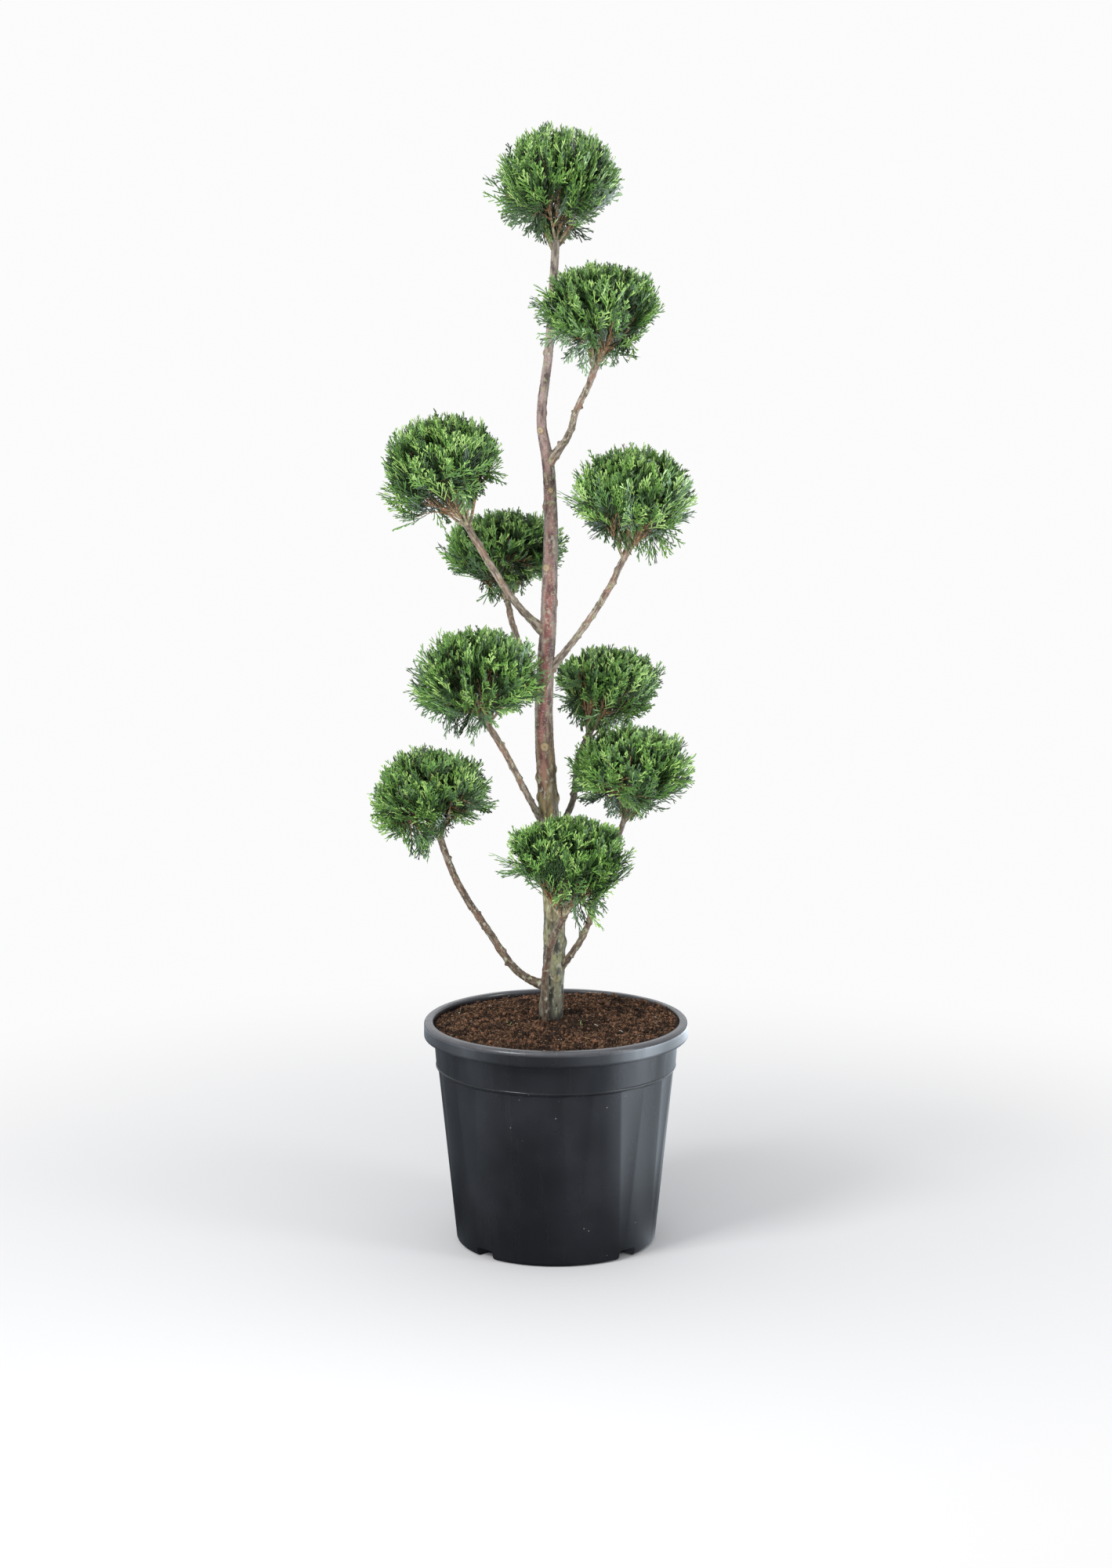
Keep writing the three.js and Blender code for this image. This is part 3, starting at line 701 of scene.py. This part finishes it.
trunk_axis = smooth_path(trunk_stations[:, [1, 2, 0]], trunk_rings)
trunk_radii = np.interp(trunk_axis[:, 2], trunk_stations[:, 0], trunk_stations[:, 3])
trunk = make_piece("trunk_bark", limb(trunk_axis, trunk_radii, trunk_sides, trunk_relief), 60)
unbent = np.array([value.vector for value in trunk.data.attributes["unbent"].data])
heights = np.array([corner.co.z for corner in trunk.data.vertices])
in_knot = near_knots(heights, np.arctan2(unbent[:, 1], unbent[:, 0])).max(0)
trunk.data.attributes.new("knot", "FLOAT", "POINT").data.foreach_set("value", in_knot.astype(np.float32))
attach(trunk, "root")
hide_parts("trunk")

lichen_group, given, results = new_group(
    "lichen", {"Bark": "Color", "Cover": "Float"}, {"Colour": "Color", "Height": "Float"},
)
covered = add_math(lichen_group, "ADD", add_noise(lichen_group, 210, 8, (1, 1, 0.6)), given["Cover"])
crust = add_range(lichen_group, covered, 0.54, 0.64, 0.0, 0.65)
tint = add_range(lichen_group, add_noise(lichen_group, 120, 4), 0.42, 0.56)
crust_colour = add_mix(lichen_group, tint, paint(122, 126, 84), paint(156, 156, 140))
lichen_group.links.new(add_mix(lichen_group, crust, given["Bark"], crust_colour), results["Colour"])
lichen_group.links.new(crust, results["Height"])


def add_lichen(tree, shader, bark, cover, ridges, relief):
    """Puts lichen over a bark colour and its ridges, by a cover that is a plain value or a socket."""
    sockets = {"Bark": bark, "Cover": cover}
    lichen = add_node(tree, "ShaderNodeGroup", sockets, node_tree=lichen_group).outputs
    tree.links.new(lichen["Colour"], shader.inputs["Base Color"])
    add_bump(tree, shader, add_math(tree, "ADD", lichen["Height"], ridges), relief)


def attribute(tree, name):
    """What a mesh attribute holds, as a vector and as a value."""
    return add_node(tree, "ShaderNodeAttribute", attribute_name=name).outputs


trunk_bark, tree, shader = make_material(
    "trunk_bark", paint(108, 94, 79), 0.6, {"Sheen Weight": 0.2, "Sheen Roughness": 0.35},
)
share = add_range(tree, parts_of(tree, object_place(tree))["Z"], soil_level, bark_top)
light_bark = add_ramp(
    tree, share, (0.0, 78, 76, 70), (0.08, 115, 115, 85), (0.24, 137, 125, 82), (0.33, 116, 100, 72),
    (0.4, 118, 102, 90), (0.54, 122, 106, 99), (0.64, 123, 107, 100), (0.69, 97, 82, 74),
    (0.74, 132, 115, 110), (0.85, 134, 118, 113), (0.93, 150, 139, 129), (1.0, 152, 145, 133),
)
dark_bark = add_ramp(
    tree, share, (0.0, 34, 32, 28), (0.15, 40, 37, 28), (0.24, 74, 62, 42), (0.33, 76, 61, 45),
    (0.4, 69, 50, 45), (0.54, 69, 50, 46), (0.64, 69, 53, 51), (0.69, 53, 41, 35), (0.74, 72, 57, 55),
    (1.0, 63, 57, 52),
)
straight = attribute(tree, "unbent")["Vector"]
drawn_out = add_noise(tree, 170, 8, (1, 1, 0.26), place=straight)
bark_colour = add_mix(tree, add_range(tree, drawn_out, 0.39, 0.58), dark_bark, light_bark)
# The red young bark shows as a ragged streak down the front, off the middle
across = parts_of(tree, straight)
wobble = add_range(tree, add_noise(tree, 55, 6, (1, 1, 0.3), place=straight), 0.3, 0.7, -4 * mm, 8 * mm)
off = add_math(tree, "ABSOLUTE", add_math(tree, "ADD", across["X"], wobble))
in_front = add_range(tree, across["Y"], 1 * mm, -3 * mm)
streak = add_math(tree, "MULTIPLY", add_range(tree, off, 6 * mm, 3.2 * mm), in_front)
redness = add_ramp(
    tree, share, (0.27, 0), (0.33, 0.6), (0.4, 0.9), (0.54, 0.9), (0.6, 0.45), (0.7, 0.4), (0.78, 0.1),
)
red_bark = add_mix(tree, add_range(tree, drawn_out, 0.4, 0.62), paint(82, 41, 39), paint(127, 75, 69))
bark_colour = add_mix(tree, add_math(tree, "MULTIPLY", streak, redness), bark_colour, red_bark)
flakes = add_range(tree, add_noise(tree, 300, 6, (1, 1, 2.0)), 0.56, 0.7, 0.0, 0.6)
flaky = add_ramp(tree, share, (0.3, 0), (0.38, 0.8), (0.7, 0.6), (1.0, 0.3))
bark_colour = add_mix(tree, add_math(tree, "MULTIPLY", flakes, flaky), bark_colour, paint(183, 175, 165))
# Each knot has a tan face inside a dark rim
knot = attribute(tree, "knot")["Fac"]
rim = add_ramp(tree, knot, (0.2, 0), (0.38, 0.85), (0.5, 0.2), (0.9, 0.1), (1.0, 0.9))
face = add_math(
    tree, "MULTIPLY", add_range(tree, knot, 0.4, 0.6, 0.0, 0.6), add_range(tree, share, 0.2, 0.32, 0.15, 1.0),
)
bark_colour = add_mix(tree, face, bark_colour, paint(168, 148, 106))
bark_colour = add_mix(tree, rim, bark_colour, paint(84, 70, 50))
cover = add_ramp(tree, share, (0.0, 0.01), (0.1, 0.04), (0.24, 0.03), (0.36, 0), (1.0, 0.01))
add_lichen(tree, shader, bark_colour, cover, drawn_out, 0.9 * mm)
trunk.data.materials.append(trunk_bark)

# The nine boughs that were kept: slim curved limbs, swollen where they leave the trunk and at their
# tips, with the stubs of their own side shoots. The lower front one starts in the peat by the trunk.
bough_sides, bough_step, stub_spacing = 28, 1.1 * mm, 17 * mm
foot_swell, foot_swell_length, tip_swell, tip_swell_length = 0.7, 24 * mm, 0.16, 9 * mm
# Each bough in mm: how high it leaves the trunk, its course, and its radii at the foot and at the tip
boughs = {
    "lower_left": (342, [(-44, 0, 363), (-90, 3, 423), (-135, 6, 497), (-157, 10, 557)], 5.3, 4.4),
    "lower_front": (None, [(-14, -8, 290), (-14, -25, 369), (-5, -60, 424), (11, -95, 467)], 4.9, 4.4),
    "lower_right": (358, [(35, -6, 417), (59, -8, 491), (94, -5, 586)], 4.4, 3.7),
    "middle_back_right": (545, [(21, 40, 588), (31, 80, 647), (46, 105, 675)], 4.3, 3.8),
    "middle_left": (552, [(-41, -25, 619), (-65, -45, 670), (-94, -60, 721)], 4.4, 4.1),
    "middle_back_left": (725, [(-45, 55, 790), (-61, 92, 835), (-66, 115, 859)], 4.3, 3.9),
    "upper_right": (768, [(27, -8, 820), (64, -16, 876), (94, -25, 937)], 4.5, 4.2),
    "upper_left": (822, [(-47, -14, 859), (-91, -28, 927), (-120, -35, 978)], 5.0, 4.4),
    "upper_front": (1046, [(17, -12, 1086), (26, -28, 1117), (42, -46, 1152), (52, -62, 1180)], 4.5, 4.1),
}
bough_axes = {}


def trunk_point(height):
    """The trunk's axis at a height."""
    return [np.interp(height, trunk_axis[:, 2], trunk_axis[:, i]) for i in range(3)]


bough_bark, tree, shader = make_material(
    "bough_bark", paint(130, 112, 94), 0.65, {"Sheen Weight": 0.15, "Sheen Roughness": 0.35},
)
straight = attribute(tree, "unbent")["Vector"]
drawn_out = add_noise(tree, 420, 9, (1, 1, 0.22), place=straight)
bark_colour = add_ramp(
    tree, drawn_out, (0.34, 61, 52, 44), (0.44, 88, 77, 65), (0.54, 113, 102, 89), (0.66, 145, 138, 126),
)
rusty = add_range(tree, add_noise(tree, 60, 5, (1, 1, 0.4), place=straight), 0.48, 0.66, 0.0, 0.6)
bark_colour = add_mix(tree, rusty, bark_colour, paint(130, 93, 75))
lower_down = add_range(tree, parts_of(tree, object_place(tree))["Z"], 0.68, 0.38)
bark_colour = add_mix(tree, lower_down, bark_colour, (0.48, 0.42, 0.36, 1), "MULTIPLY")
add_lichen(tree, shader, bark_colour, 0.0, drawn_out, 0.9 * mm)

for index, (name, (start, through, foot, tip)) in enumerate(boughs.items()):
    points = [np.array(point) * mm for point in through]
    if start is not None:
        points.insert(0, np.array(trunk_point(start * mm)))
    rough_length = sum(np.linalg.norm(b - a) for a, b in zip(points, points[1:]))
    axis = smooth_path(points, int(rough_length / bough_step))
    share = np.linspace(0, 1, len(axis))
    radii = np.interp(share, [0, 1], [foot, tip]) * mm
    radii *= 1 + tip_swell * np.exp(-((1 - share) * rough_length / tip_swell_length) ** 2)
    if start is not None:
        radii *= 1 + foot_swell * np.exp(-(share * rough_length / foot_swell_length) ** 2)
    random = np.random.default_rng(200 + index)
    stub_count = int(rough_length / stub_spacing)
    stubs = [(
        (i + random.uniform(0.2, 0.8)) / stub_count, i * 2.4 + random.uniform(-0.5, 0.5),
        random.uniform(1.6, 2.6) * mm, random.uniform(0.8, 3.0) * mm,
    ) for i in range(stub_count)]

    def bough_relief(points, share, turn):
        """Bark and stubs."""
        relief = 0.55 * bark_relief(points, mm, 30 + index)
        for at, around, size, rise in stubs:
            far = np.hypot((share - at) * rough_length, turn_from(around, turn) * tip * mm) / size
            relief += rise * np.exp(-far ** 2)
        return relief

    bough = make_piece(f"bough_{name}_bark", limb(axis, radii, bough_sides, bough_relief), 60)
    bough.data.materials.append(bough_bark)
    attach(bough, "root")
    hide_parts(f"bough_{name}")
    bough_axes[name] = axis

# The ten balls of foliage, clipped by hand once or twice a year. The tip of each bough forks into a few
# bare twigs, those branch again, and every branch ends in a flat fan of sprays of scale leaves that
# stops near the clipped outline. A spray that would touch a limb or another ball is left out.
crown_power, skirt_power = 2.1, 1.7
growth_share = 0.2
golden_angle = math.pi * (3 - math.sqrt(5))
limb_clearance, ball_clearance, past_box = 3 * mm, 1.08, 4 * mm
fork_count, fork_points, fork_leans, fork_reach = 8, 8, (28, 94), (0.5, 0.68)
branch_count, branch_points, branch_reach, sprays_each = 96, 6, (0.66, 0.8), 7
leader_end, fork_thickness, branch_thickness = 1.8 * mm, (2.1 * mm, 1.2 * mm), (1.25 * mm, 0.6 * mm)
lowest_branch, open_cone = -0.94, -0.36
farthest, longest_reach, reach_tries, reach_halvings = 1.22, 0.26, 80, 16
stray_share, low_kept, sparse_kept, brown_share = 0.15, 0.85, 0.45, 0.25
# Shares of a ball's outline within which branchlets are painted in full shade, and then dimmed.
shaded_inside, dim_inside = 0.62, 0.76
tone_steps = [-0.85, -0.4, 0.0, 0.45, 1.0]
side_count = 9
branchlet_radius, branchlet_flatness, shortest_branchlet = 0.95 * mm, 0.6, 5.5 * mm
bare_twig_count, bare_twig_thickness = 46, (0.6 * mm, 0.35 * mm)
# Each ball in mm: its middle, half width, height above and below that, then its sag to the left and seed
balls = {
    "lower_left": ((-167, 15, 601), 80, 68, 56, 0.35, 11),
    "lower_front": ((14, -112, 544), 84, 57, 66, -0.45, 23),
    "lower_right": ((99, -5, 645), 80, 56, 59, 0, 31),
    "middle_back_right": ((69, 115, 741), 74, 49, 63, 0, 43),
    "middle_left": ((-99, -70, 777), 86, 64, 66, 0.2, 59),
    "middle_back_left": ((-69, 130, 918), 80, 54, 62, 0.15, 61),
    "upper_right": ((99, -30, 1005), 83, 70, 67, -0.15, 73),
    "upper_left": ((-146, -45, 1048), 80, 68, 78, 0.35, 83),
    "upper_front": ((58, -75, 1250), 80, 58, 70, 0.1, 97),
    "top": ((4, 0, 1399), 82, 82, 62, 0, 101),
}


def share_of(ball, offsets):
    """How far out points lie in a ball: 0 in its middle, 1 on its outline."""
    _, half_width, crown, skirt, sag, _ = ball
    flat = np.hypot(offsets[..., 0], offsets[..., 1]) + 1e-9
    is_crown = offsets[..., 2] > 0
    leftward = -offsets[..., 0] / flat
    height = np.where(is_crown, crown, skirt * (1 + sag * leftward)) * mm
    power = np.where(is_crown, crown_power, skirt_power)
    return ((flat / (half_width * mm)) ** power + (np.abs(offsets[..., 2]) / height) ** power) ** (1 / power)


def point_of(ball, directions, share):
    """The points at a share of the way out, in given directions."""
    reach = share / share_of(ball, directions)
    return directions * reach[..., None] + np.array(ball[0]) * mm


def reach_out(ball, starts, aims, shares):
    """The points where lines come out through given shares of a ball, or else where they pass nearest
    its middle."""
    tries = np.linspace(0, longest_reach, reach_tries)
    offsets = starts[:, None] + aims[:, None] * tries[:, None] - np.array(ball[0]) * mm
    near, far = tries[share_of(ball, offsets).argmin(1)], np.full(len(starts), longest_reach)
    for _ in range(reach_halvings):
        middle = (near + far) / 2
        offsets = starts + aims * middle[:, None] - np.array(ball[0]) * mm
        is_inside = share_of(ball, offsets) < shares
        near, far = np.where(is_inside, middle, near), np.where(is_inside, far, middle)
    return starts + aims * near[:, None]


def tubes(paths, radii, sides):
    """Closed twigs along paths of equally many points. Their ends are closed by a fan of faces."""
    count, steps, _ = paths.shape
    heading = unit(paths[:, -1] - paths[:, 0])
    across = unit(np.cross(heading, (0.31, 0.87, 0.38)))
    through = np.cross(heading, across)
    turn = np.arange(sides) * math.tau / sides
    ring = across[:, None] * np.cos(turn)[:, None] + through[:, None] * np.sin(turn)[:, None]
    corners = paths[:, :, None] + ring[:, None] * radii[:, :, None, None]
    pattern = []
    for step in range(steps - 1):
        for i in range(sides):
            a, b = step * sides + i, step * sides + (i + 1) % sides
            pattern += [(a, b, a + sides), (b, b + sides, a + sides)]
    last = (steps - 1) * sides
    for i in range(1, sides - 1):
        pattern += [(0, i + 1, i), (last, last + i, last + i + 1)]
    faces = copies_of(pattern, count, steps * sides)
    return corners.reshape(count, steps * sides, 3), faces


def bent(starts, bends, ends, steps):
    """Points on quadratic curves from starts to ends."""
    t = np.linspace(0, 1, steps)[None, :, None]
    return starts[:, None] * (1 - t) ** 2 + 2 * t * (1 - t) * bends[:, None] + ends[:, None] * t ** 2


def thinning(thickness, count, steps, variation=0.0):
    """Radii of twigs that thin out along their points, from a first to a last one."""
    return np.linspace(*thickness, steps)[None] * random.uniform(1 - variation, 1 + variation, (count, 1))


# One green in six tones, painted from shade to light. The darkest paints the shade deep in a ball. The middle
# ones are dimmer or lighter by how a spray faces the light. The lightest is new growth together with a
# painted highlight on the outer tips.
leaf_tones = {
    "leaf_shade": (18, 32, 12), "leaf_deep": (41, 64, 31), "leaf_blue": (72, 99, 64),
    "leaf_green": (80, 117, 56), "leaf_bright": (103, 144, 67), "leaf_new_and_highlit": (149, 183, 103),
}
leaf_shade, leaf_deep, leaf_green = 0, 1, 3
leaf_new_and_highlit, brown_twig = len(leaf_tones) - 1, len(leaf_tones)
leaf_materials = []
for name, colour in leaf_tones.items():
    material, tree, shader = make_material(name, paint(*colour), 0.5, {"Specular IOR Level": 0.65})
    height = add_node(tree, "ShaderNodeGroup", {"Scale": 900}, node_tree=grain_group).outputs["Height"]
    tree.links.new(add_range(tree, height, 0.3, 0.7, 0.28, 0.46), shader.inputs["Roughness"])
    add_bump(tree, shader, height, 0.25 * mm)
    leaf_materials.append(material)
young_bark = grained("young_twig", (88, 68, 50), (146, 116, 86), 300, 0.65, 0.1 * mm)
twig_bark = grained("twig_bark", (88, 82, 66), (156, 148, 122), 220, 0.8, 0.2 * mm)
leaf_materials.append(young_bark)


def is_clear(points, name):
    """Whether points miss all limbs and the other balls."""
    clear = np.ones(len(points), bool)
    for axis, thickness in limb_spaces:
        near = np.linalg.norm(points[:, None] - axis[None], axis=2).min(1)
        clear &= near > thickness + limb_clearance
    for other, ball in balls.items():
        if other != name:
            clear &= share_of(ball, points - np.array(ball[0]) * mm) > ball_clearance
    return clear


limb_spaces = [(trunk_axis[i:i + 60:6], trunk_radii[i]) for i in range(0, len(trunk_axis), 60)]
limb_spaces += [(axis[::5], boughs[name][2] * mm) for name, axis in bough_axes.items()]
bough_axes["top"] = trunk_axis
lowest_reach, highest_reach = np.array(cad_box[0]) - past_box, np.array(cad_box[1]) + past_box

for name, ball in balls.items():
    random = np.random.default_rng(ball[5])
    centre = np.array(ball[0]) * mm
    axis = bough_axes[name]
    anchor, heading = axis[-1], unit(axis[-1] - axis[-4])
    upward = unit(centre - anchor + heading * 5 * mm)
    stem_radius = (boughs[name][3] if name in boughs else trunk_stations[-1, 3] / mm) * mm
    growth = anchor + (centre - anchor) * growth_share

    # The fork: a short leader, and bare twigs that spread from the bough's tip like ribs
    turn = np.arange(fork_count) * golden_angle + random.uniform(0, math.tau)
    lean = np.radians(np.linspace(*fork_leans, fork_count) + random.normal(0, 6, fork_count))
    right = unit(np.cross(upward, (0.2, 0.9, 0.1)))
    back = np.cross(upward, right)
    spread = right * np.cos(turn)[:, None] + back * np.sin(turn)[:, None]
    outward = upward * np.cos(lean)[:, None] + spread * np.sin(lean)[:, None]
    starts = axis[-1 - random.integers(0, 15, fork_count)]
    ends = point_of(ball, outward, random.uniform(*fork_reach, fork_count))
    bends = starts + spread * 10 * mm + unit(ends - starts) * 12 * mm - upward * 2 * mm
    fork_paths = bent(starts, bends, ends, fork_points)
    fork_radii = thinning(fork_thickness, fork_count, fork_points, 0.25)
    leader = bent(
        anchor[None] - heading * 2 * mm, anchor[None] + heading * 12 * mm, centre[None], fork_points,
    )
    leader_radii = thinning((stem_radius, leader_end), 1, fork_points)
    ribs = np.concatenate([leader, fork_paths])

    # The branches: each leaves the rib that points nearest its own way, and there are none in the open
    # cone below
    order = np.arange(branch_count)
    level = 1 + (lowest_branch - 1) * (order + 0.5) / branch_count
    turn = order * golden_angle + 0.5 * random.uniform(size=branch_count)
    flat = np.sqrt(1 - level ** 2)
    out = np.column_stack([flat * np.cos(turn), flat * np.sin(turn), level])
    ends = point_of(ball, out, random.uniform(*branch_reach, branch_count))
    from_growth = unit(ends - growth)
    kept = from_growth[:, 2] > open_cone
    ends, from_growth = ends[kept], from_growth[kept]
    nearest = (from_growth @ unit(ribs[:, -1] - growth).T).argmax(1)
    joint = random.integers(2, fork_points - 1, len(ends))
    starts = ribs[nearest, joint]
    course = unit(ends - starts)
    bends = starts + (ends - starts) * 0.5 + (unit(ribs[nearest, -1] - ribs[nearest, 0]) - course) * 7 * mm
    is_low = course[:, 2] < 0.1
    bends[is_low, 2] += 6 * mm
    branch_paths = bent(starts, bends, ends, branch_points)
    branch_radii = thinning(branch_thickness, len(ends), branch_points, 0.25)

    # The sprays: each branch carries a flat fan of them
    fan_side = unit(np.cross(course, (0, 0, 1)) + 0.001)
    roll = random.uniform(-math.pi / 2, math.pi / 2, len(ends))[:, None]
    fan_side = fan_side * np.cos(roll) + np.cross(course, fan_side) * np.sin(roll)
    fan_face = np.cross(course, fan_side)
    parent = np.repeat(np.arange(len(ends)), sprays_each)
    fan = np.tile(np.linspace(-0.5, 0.5, sprays_each), len(ends)) + random.normal(0, 0.06, len(parent))
    lift = random.normal(0, 0.09, len(parent))
    aim = course[parent] + fan_side[parent] * fan[:, None] + fan_face[parent] * lift[:, None]
    aim[:, 2] += 0.45 * np.clip(aim[:, 2] + 0.35, 0, 1)
    aim = unit(aim)
    limit = 1.0 - 0.06 * np.clip(aim[:, 2], 0, 1) + random.uniform(-0.13, 0.06, len(parent))
    limit += random.normal(0, 0.055, len(ends))[parent] + 0.035 * rough_field(aim, 0.9, ball[5])
    is_stray = random.uniform(size=len(parent)) < stray_share * (1 - np.clip(aim[:, 2], 0, 1))
    limit += np.where(is_stray, random.uniform(0.04, 0.18, len(parent)), 0)
    limit += np.where(is_low[parent], random.uniform(-0.02, 0.24, len(parent)), 0)
    limit = np.minimum(limit, farthest)
    tips = reach_out(ball, branch_paths[parent, 2], aim, limit)
    along = np.clip(0.95 - 0.9 * np.abs(fan) + random.normal(0, 0.06, len(parent)), 0.3, 0.99)
    step = (along * (branch_points - 1)).astype(int)
    part = (along * (branch_points - 1) - step)[:, None]
    roots = branch_paths[parent, step] * (1 - part) + branch_paths[parent, step + 1] * part
    clear = is_clear(tips, name) & is_clear((tips + roots) / 2, name)
    clear &= ~is_low[parent] | (random.uniform(size=len(parent)) < low_kept)
    clear &= ((tips > lowest_reach) & (tips < highest_reach)).all(1)
    roots, tips, aim, limit, parent = roots[clear], tips[clear], aim[clear], limit[clear], parent[clear]
    spray_count = len(roots)
    is_sparse = is_low[parent]

    axis_line = tips - roots
    length = np.linalg.norm(axis_line, axis=1, keepdims=True)
    forward = axis_line / length
    side = fan_side[parent] + 0.22 * random.normal(size=(spray_count, 3))
    side = unit(side - forward * (side * forward).sum(1, keepdims=True))
    face = np.cross(forward, side)
    rise = np.array([0, 0, 1]) - forward * forward[:, 2:]
    bow = -rise * length * random.uniform(0.02, 0.16, (spray_count, 1))

    def on_axis(t):
        """Points of every spray's axis, at shares of its length. It sags, and its end turns up."""
        return roots + axis_line * t + bow * 4 * t * (1 - t)

    def clipped(starts, ends, limits):
        """Ends drawn back to where the shears would have cut them."""
        limits = np.minimum(limits, farthest)
        inner, outer = share_of(ball, starts - centre), share_of(ball, ends - centre)
        keep = np.clip((limits - inner) / np.maximum(outer - inner, 1e-6), 0.3, 1)
        keep = np.where(outer > limits, keep, 1)
        return starts + (ends - starts) * keep[..., None]

    large, fine = [], []
    # A spray is painted lighter the more it faces upwards, as painted light from above, with a random spread
    # of tone between sprays.
    tone = np.digitize(0.35 * aim[:, 2] + random.normal(0.12, 0.5, spray_count), tone_steps)
    is_brown = random.uniform(size=spray_count) < brown_share
    # The inner half of each spray's stem is a bare brown twig, or else it is painted in shade.
    large.append((on_axis(0), on_axis(0.5), side, np.where(is_brown, brown_twig, leaf_shade)))
    large.append((on_axis(0.42), on_axis(1), side, np.minimum(tone, leaf_green)))
    for k in range(side_count):
        t = 0.12 + 0.8 * (k + 0.5) / side_count + random.uniform(-0.03, 0.03, (spray_count, 1))
        hand = 1 if k % 2 else -1
        slant = np.radians(random.uniform(18, 36, (spray_count, 1)))
        reach = length * (0.12 + 0.24 * (1 - t) ** 0.8) * random.uniform(0.7, 1.3, (spray_count, 1))
        across = side * hand + face * random.normal(0, 0.14, (spray_count, 1))
        course = unit(forward * np.cos(slant) + across * np.sin(slant))
        start = on_axis(t)
        end = clipped(start, start + course * reach, limit + random.uniform(-0.02, 0.05, spray_count))
        # Branchlets towards a spray's end are more often one step lighter. This is new growth, and with it a
        # painted highlight.
        newer_and_highlit = (random.uniform(size=spray_count) < 0.15 + 0.45 * t[:, 0] ** 2).astype(int)
        # Branchlets deep in the ball are painted in shade, and those a little less deep are painted dim. The
        # low skirt counts as less deep, since light reaches it from below.
        inside = share_of(ball, start - centre) - (limit - 1) / 2 + 0.16 * is_sparse
        lit, dim = np.clip(tone + newer_and_highlit, leaf_shade, leaf_new_and_highlit), np.minimum(tone, leaf_deep)
        shade = np.where(inside < shaded_inside, leaf_shade, np.where(inside < dim_inside, dim, lit))
        large.append((start, end, side, shade))
        stretch = end - start
        lateral = unit(np.cross(face, course))
        for m in range(2 if k in (1, 2, 3, 4, 5) else 1):
            at = random.uniform(0.25, 0.5, (spray_count, 1)) + 0.26 * m
            fork = hand * (1 if m % 2 else -1)
            splay = np.radians(random.uniform(16, 32, (spray_count, 1)))
            finer = unit(unit(stretch) * np.cos(splay) + lateral * fork * np.sin(splay))
            long = np.linalg.norm(stretch, axis=1, keepdims=True) * (1.1 - at) * 0.85
            long = np.maximum(long, shortest_branchlet)
            root = start + stretch * at
            point = clipped(root, root + finer * long, limit + random.uniform(0, 0.06, spray_count))
            kept = ~is_sparse | (random.uniform(size=spray_count) < sparse_kept)
            fine.append((root[kept], point[kept], side[kept], shade[kept]))

    sets = []
    for branchlets, shape in ((large, fingers), (fine, needles)):
        starts, ends, across, shade = (np.concatenate(parts) for parts in zip(*branchlets))
        thick = np.full(len(starts), branchlet_radius)
        sets.append((*shape(starts, ends, across, thick, branchlet_flatness), shade))
    foliage = joined(f"sprays_{name}", leaf_materials, *sets)
    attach(foliage, "root")
    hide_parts(f"foliage_{name}")

    # Bare twiglets that have lost their leaves in the shade hang on to the ribs below
    picked = random.integers(1, fork_count + 1, bare_twig_count)
    starts = ribs[picked, random.integers(1, fork_points - 2, bare_twig_count)]
    aim = unit(unit(ribs[picked, -1] - ribs[picked, 0]) + random.normal(0, 0.45, (bare_twig_count, 3)))
    ends = starts + aim * random.uniform(9, 24, (bare_twig_count, 1)) * mm
    bends = (starts + ends) / 2 + random.normal(0, 1.5, (bare_twig_count, 3)) * mm
    clear = is_clear(ends, name) & (share_of(ball, ends - centre) < 0.97)
    bare_paths = bent(starts, bends, ends, 4)[clear]
    bare_radii = thinning(bare_twig_thickness, len(bare_paths), 4)
    twigs = joined(
        f"twigs_{name}", [twig_bark, young_bark],
        (*tubes(leader, leader_radii, 10), 0), (*tubes(fork_paths, fork_radii, 7), 0),
        (*tubes(branch_paths, branch_radii, 4), 1), (*tubes(bare_paths, bare_radii, 3), 0),
    )
    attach(twigs, "root")
    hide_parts(f"foliage_{name}")
